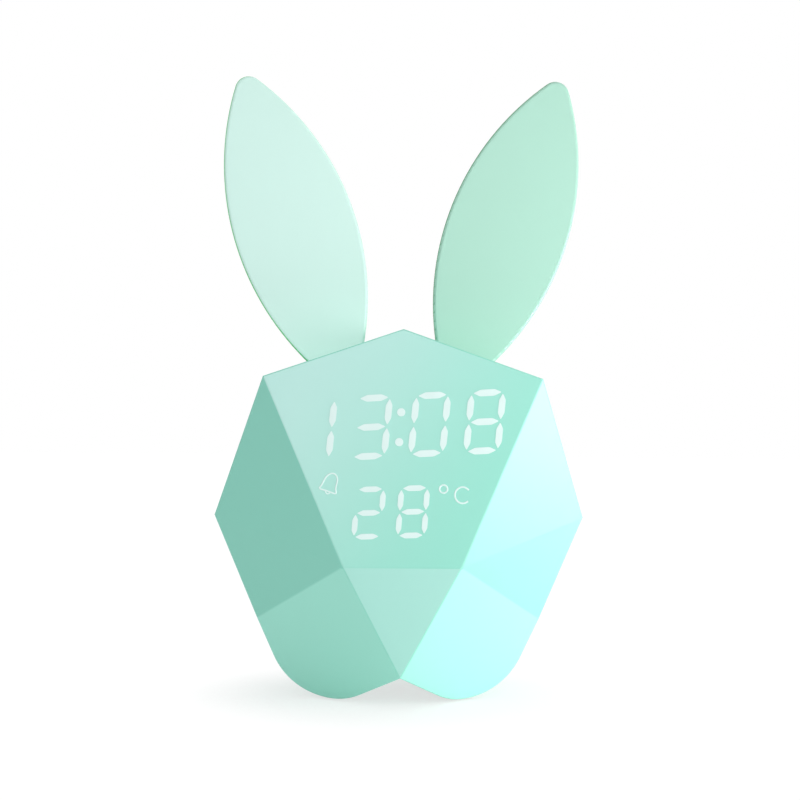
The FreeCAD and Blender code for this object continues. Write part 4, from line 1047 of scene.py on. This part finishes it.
    def build(self) -> None:
        """Models every lit mark and dresses it."""
        marks = self.row(self.time) + self.row(self.degrees)
        marks += [self.line(line) for line in self.lines]
        for index, (x, rise) in enumerate(self.colon):
            marks.append(self.disc(x, rise, "colon_dot_%d" % (index + 1)))
        for mark in marks:
            Bench.edit(mark)
            bpy.ops.mesh.normals_make_consistent(inside=False)
            bpy.ops.object.mode_set(mode="OBJECT")
            Paint.on(mark, Finish.LIT_MARK)
            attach(mark, "housing")
        LOG.info("display: %d lit marks", len(marks))


@dataclass
class RearPanel:
    """The keys, the slider and the printed marks on the rear.

    The parts of a key's mark are shares of mark_size.
    """

    keys: dict[str, float] = field(default_factory=lambda: {
        "set": -21.5, "up": -8.0, "down": 8.0, "light": 21.5})
    cap_turn: float = 35.0
    rear: float = 32.0
    mark_height: float = 48.6
    mark_size: float = 1.5
    mark_proud: float = 0.12
    dot_corners: int = 24
    ring_parts: int = 36
    line_parts: int = 8
    set_ring: float = 0.8
    set_line: float = 0.4
    set_dot: float = 0.3
    light_dot: float = 0.45
    light_reach: float = 0.95
    light_rays: int = 8
    ray_size: float = 0.17
    off_place: Span = (-11.5, 33.4)
    off_radius: float = 0.7
    off_line: float = 0.3
    knob_start: float = 0.4
    knob_round: float = 0.2
    knob_corner: float = 40.0
    knob_turn: float = 32.0

    def stamp(self, vertices: int, x: float, z: float, radius: float, turn: float,
              name: str) -> bpy.types.Object:
        """Models one flat raised mark on the rear wall.

        Args:
            vertices: How many corners it has.
            x: Its place across, in millimetres.
            z: Its height, in millimetres.
            radius: Its radius, in millimetres.
            turn: Its turn in the wall's plane, in degrees.
            name: The object's name.

        Returns:
            The mark.
        """
        Bench.clear()
        bpy.ops.mesh.primitive_cylinder_add(
            vertices=vertices, radius=radius * MM, depth=self.mark_proud * 2 * MM,
            location=(x * MM, self.rear * MM, z * MM), rotation=(QUARTER, math.radians(turn), 0))
        return Bench.settle(bpy.context.object, name)

    def ring(self, x: float, z: float, radius: float, thickness: float,
             name: str) -> bpy.types.Object:
        """Models one raised ring on the rear wall.

        Args:
            x: Its place across, in millimetres.
            z: Its height, in millimetres.
            radius: Its radius to the middle of the line, in millimetres.
            thickness: The line's thickness, in millimetres.
            name: The object's name.

        Returns:
            The ring.
        """
        Bench.clear()
        bpy.ops.mesh.primitive_torus_add(
            location=(x * MM, self.rear * MM, z * MM), rotation=(QUARTER, 0, 0),
            major_radius=radius * MM, minor_radius=thickness / 2 * MM,
            major_segments=self.ring_parts, minor_segments=self.line_parts)
        made = bpy.context.object
        made.scale = (1, 1, self.mark_proud * 2 / thickness)
        return Bench.settle(made, name)

    def marks(self) -> list[bpy.types.Object]:
        """Models the mark over each key and beside the slider.

        Returns:
            The marks.
        """
        z, size, light = self.mark_height, self.mark_size, self.keys["light"]
        made = [
            self.ring(self.keys["set"], z, size * self.set_ring, self.set_line, "set_ring_mark"),
            self.stamp(self.dot_corners, self.keys["set"], z, size * self.set_dot, 0,
                       "set_dot_mark"),
            self.stamp(3, self.keys["up"], z, size, 0, "up_mark"),
            self.stamp(3, self.keys["down"], z, size, 180, "down_mark"),
            self.stamp(self.dot_corners, light, z, size * self.light_dot, 0, "light_dot_mark"),
            self.ring(*self.off_place, self.off_radius, self.off_line, "off_mark"),
        ]
        reach, step = size * self.light_reach, 360 / self.light_rays
        rays = []
        for index in range(self.light_rays):
            turn = math.radians(index * step)
            rays.append(self.stamp(4, light + math.cos(turn) * reach, z + math.sin(turn) * reach,
                                   size * self.ray_size, (index + 1) * step, "light_ray"))
        made.append(Bench.join(rays, "light_rays_mark"))
        return made

    def build(self) -> None:
        """Rounds the slider's knob, smooths the keys, adds the marks and dresses everything."""
        for key in self.keys:
            node = key + "_button"
            cap = Bench.copy_node(node, key + "_key_cap")
            Bench.smooth(cap, self.cap_turn)
            Paint.on(cap, Finish.BUTTON)
            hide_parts(node)
            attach(cap, key + "_key")
        slider = Bench.copy_node("power_switch_slider", "power_slider_knob")
        outside = (self.rear + self.knob_start) * MM
        Bench.bevel_edges(slider, lambda edge: outward_corner(edge, self.knob_corner)
                          and min(end.co.y for end in edge.verts) > outside, self.knob_round, 2)
        Bench.smooth(slider, self.knob_turn)
        Paint.on(slider, Finish.BUTTON)
        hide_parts("power_switch_slider")
        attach(slider, "power_slider")
        for mark in self.marks():
            Paint.on(mark, Finish.PRINT)
            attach(mark, "housing")
        LOG.info("rear panel: %d keys and a slider", len(self.keys))


@dataclass
class Works:
    """The pieces that the CAD already shapes, outside and inside the head."""

    finishes: dict[str, Finish] = field(default_factory=lambda: {
        "diffuser_film": Finish.FILM, "reflector_frame": Finish.REFLECTOR,
        "time_segments": Finish.SEGMENT, "temperature_segments": Finish.SEGMENT,
        "icon_segments": Finish.SEGMENT, "display_board": Finish.BOARD,
        "display_leds": Finish.LAMP, "display_screws": Finish.STEEL,
        "main_board": Finish.BOARD, "set_plunger": Finish.BLACK, "up_plunger": Finish.BLACK,
        "down_plunger": Finish.BLACK, "light_plunger": Finish.BLACK,
        "tact_switches": Finish.TIN, "power_switch_body": Finish.TIN,
        "usb_socket": Finish.TIN, "usb_contacts": Finish.BLACK,
        "controller_chip": Finish.BLACK, "clock_crystal": Finish.TIN,
        "tap_sensor": Finish.TIN, "thermistor": Finish.BLACK, "battery_pad": Finish.FOAM,
        "battery_cell": Finish.FOIL, "board_screws": Finish.STEEL,
        "speaker_gasket": Finish.FOAM, "speaker_basket": Finish.TIN,
        "speaker_magnet": Finish.MAGNET, "speaker_cone": Finish.PAPER,
        "speaker_screws": Finish.STEEL, "right_ear_light_board": Finish.BOARD,
        "left_ear_light_board": Finish.BOARD, "ear_leds": Finish.LAMP,
        "ear_light_wires": Finish.GREY_WIRE, "speaker_wires": Finish.RED_WIRE,
        "battery_wires": Finish.RED_WIRE, "display_wires": Finish.GREY_WIRE,
        "housing_screws": Finish.STEEL, "foot_pads": Finish.SILICONE,
    })

    def build(self) -> None:
        """Dresses each of them."""
        for node, finish in self.finishes.items():
            Paint.on(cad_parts[node], finish)
        LOG.info("works: %d nodes dressed", len(self.finishes))


@dataclass(frozen=True)
class Lamp:
    """One soft square lamp, in metres and watts."""

    name: str
    place: Point
    size: float
    watts: float


@dataclass
class Studio:
    """The camera, the lamps, the floor and the backdrop, in metres and degrees."""

    target: Point = (0.000164, 0.0, 0.084)
    distance: float = 0.4554
    yaw: float = 2.085
    pitch: float = -0.745
    roll: float = 0.592
    lens: float = 71.75
    sensor: float = 36.0
    clip: Span = (0.01, 20.0)
    middle: Point = (0.0, 0.0, 0.07)
    lamps: tuple[Lamp, ...] = (Lamp("key_lamp", (0.24, -0.085, 0.058), 0.13, 0.54),
                               Lamp("front_lamp", (0.2, -1.0, 0.3), 0.8, 2.0),
                               Lamp("top_lamp", (0.0, 0.1, 1.1), 0.9, 2.0))
    floor_size: float = 6.0
    floor_tones: Span = (0.93, 0.95)
    floor_cloud: float = 60.0
    floor_glow: float = 1.05
    shadow_reach: Span = (0.03, 0.075)
    shadow_glow: float = 0.65
    sky: Span = (0.46, 0.67)

    def camera(self) -> None:
        """Sets the camera where the photograph was taken."""
        yaw, pitch, roll = (math.radians(value) for value in (self.yaw, self.pitch, self.roll))
        forward = Vector((math.sin(yaw) * math.cos(pitch), math.cos(yaw) * math.cos(pitch),
                          -math.sin(pitch)))
        level = Vector((math.cos(yaw), -math.sin(yaw), 0))
        upright = level.cross(forward)
        right = math.cos(roll) * level + math.sin(roll) * upright
        above = -math.sin(roll) * level + math.cos(roll) * upright
        lens = bpy.data.cameras.new("photo_camera")
        lens.lens = self.lens
        lens.sensor_width = self.sensor
        lens.clip_start, lens.clip_end = self.clip
        camera = bpy.data.objects.new("photo_camera", lens)
        turn = Matrix((right, above, -forward)).transposed().to_4x4()
        place = Vector(self.target) - forward * self.distance
        camera.matrix_world = Matrix.Translation(place) @ turn
        bpy.context.scene.collection.objects.link(camera)
        bpy.context.scene.camera = camera

    def light(self, lamp: Lamp) -> None:
        """Adds one lamp that faces the middle of the clock.

        Args:
            lamp: The lamp.
        """
        light = bpy.data.lights.new(lamp.name, "AREA")
        light.shape = "SQUARE"
        light.size = lamp.size
        light.energy = lamp.watts
        stand = bpy.data.objects.new(lamp.name, light)
        away = Vector(lamp.place) - Vector(self.middle)
        stand.matrix_world = (Matrix.Translation(lamp.place)
                              @ away.to_track_quat("Z", "Y").to_matrix().to_4x4())
        bpy.context.scene.collection.objects.link(stand)

    def floor(self) -> None:
        """Lays the pale floor, which keeps the clock's shadow."""
        Bench.clear()
        bpy.ops.mesh.primitive_plane_add(size=self.floor_size, location=(0, 0, 0))
        floor = bpy.context.object
        floor.name = "studio_floor"
        shader = Shader("studio_floor_paper", Roughness=0.9)
        darker, paler = ((tone,) * 3 for tone in self.floor_tones)
        shader.feed("Base Color", shader.blend(shader.noise(self.floor_cloud), darker, paler))
        glow = shader.node("ShaderNodeEmission", {}, {"Color": WHITE, "Strength": self.floor_glow})
        away = shader.node("ShaderNodeVectorMath", {"operation": "LENGTH"},
                           {0: shader.place()}, 1)
        seen = away.ramp(*self.shadow_reach) * (1 - self.shadow_glow) + self.shadow_glow
        paper = Signal(shader, shader.surface.outputs[0])
        shader.show("Material Output", shader.mix(seen * shader.looked_at(), paper, glow))
        floor.data.materials.append(shader.material)

    def world(self) -> None:
        """Sets a white backdrop and a soft light from all round, brighter on the right."""
        world = bpy.data.worlds.new("studio_world")
        bpy.context.scene.world = world
        world.use_nodes = True
        graph = Graph(world.node_tree)
        graph.tree.nodes.remove(graph.tree.nodes["Background"])
        towards = graph.node("ShaderNodeTexCoord", {}, {}, "Generated")
        rightward = graph.node("ShaderNodeSeparateXYZ", {}, {0: towards})
        level = graph.node("ShaderNodeMapRange", {}, {
            0: rightward, 1: -1.0, 2: 1.0, 3: self.sky[0], 4: self.sky[1]})
        sky, backdrop = (graph.node("ShaderNodeBackground", {}, {"Color": WHITE,
                                                                 "Strength": strength})
                         for strength in (level, 1.0))
        graph.show("World Output", graph.mix(graph.looked_at(), sky, backdrop))

    def build(self) -> None:
        """Sets up the whole studio."""
        bpy.context.scene.view_settings.view_transform = "Standard"
        self.camera()
        self.world()
        self.floor()
        for lamp in self.lamps:
            self.light(lamp)
        LOG.info("studio set")


def main() -> None:
    """Builds every sub-assembly in order."""
    logging.basicConfig(level=logging.INFO, format="%(name)s: %(message)s")
    for part in (Studio(), Housing(), Ears(), Display(), RearPanel(), Works()):
        part.build()
    Bench.clear()


if __name__ == "__main__":
    main()
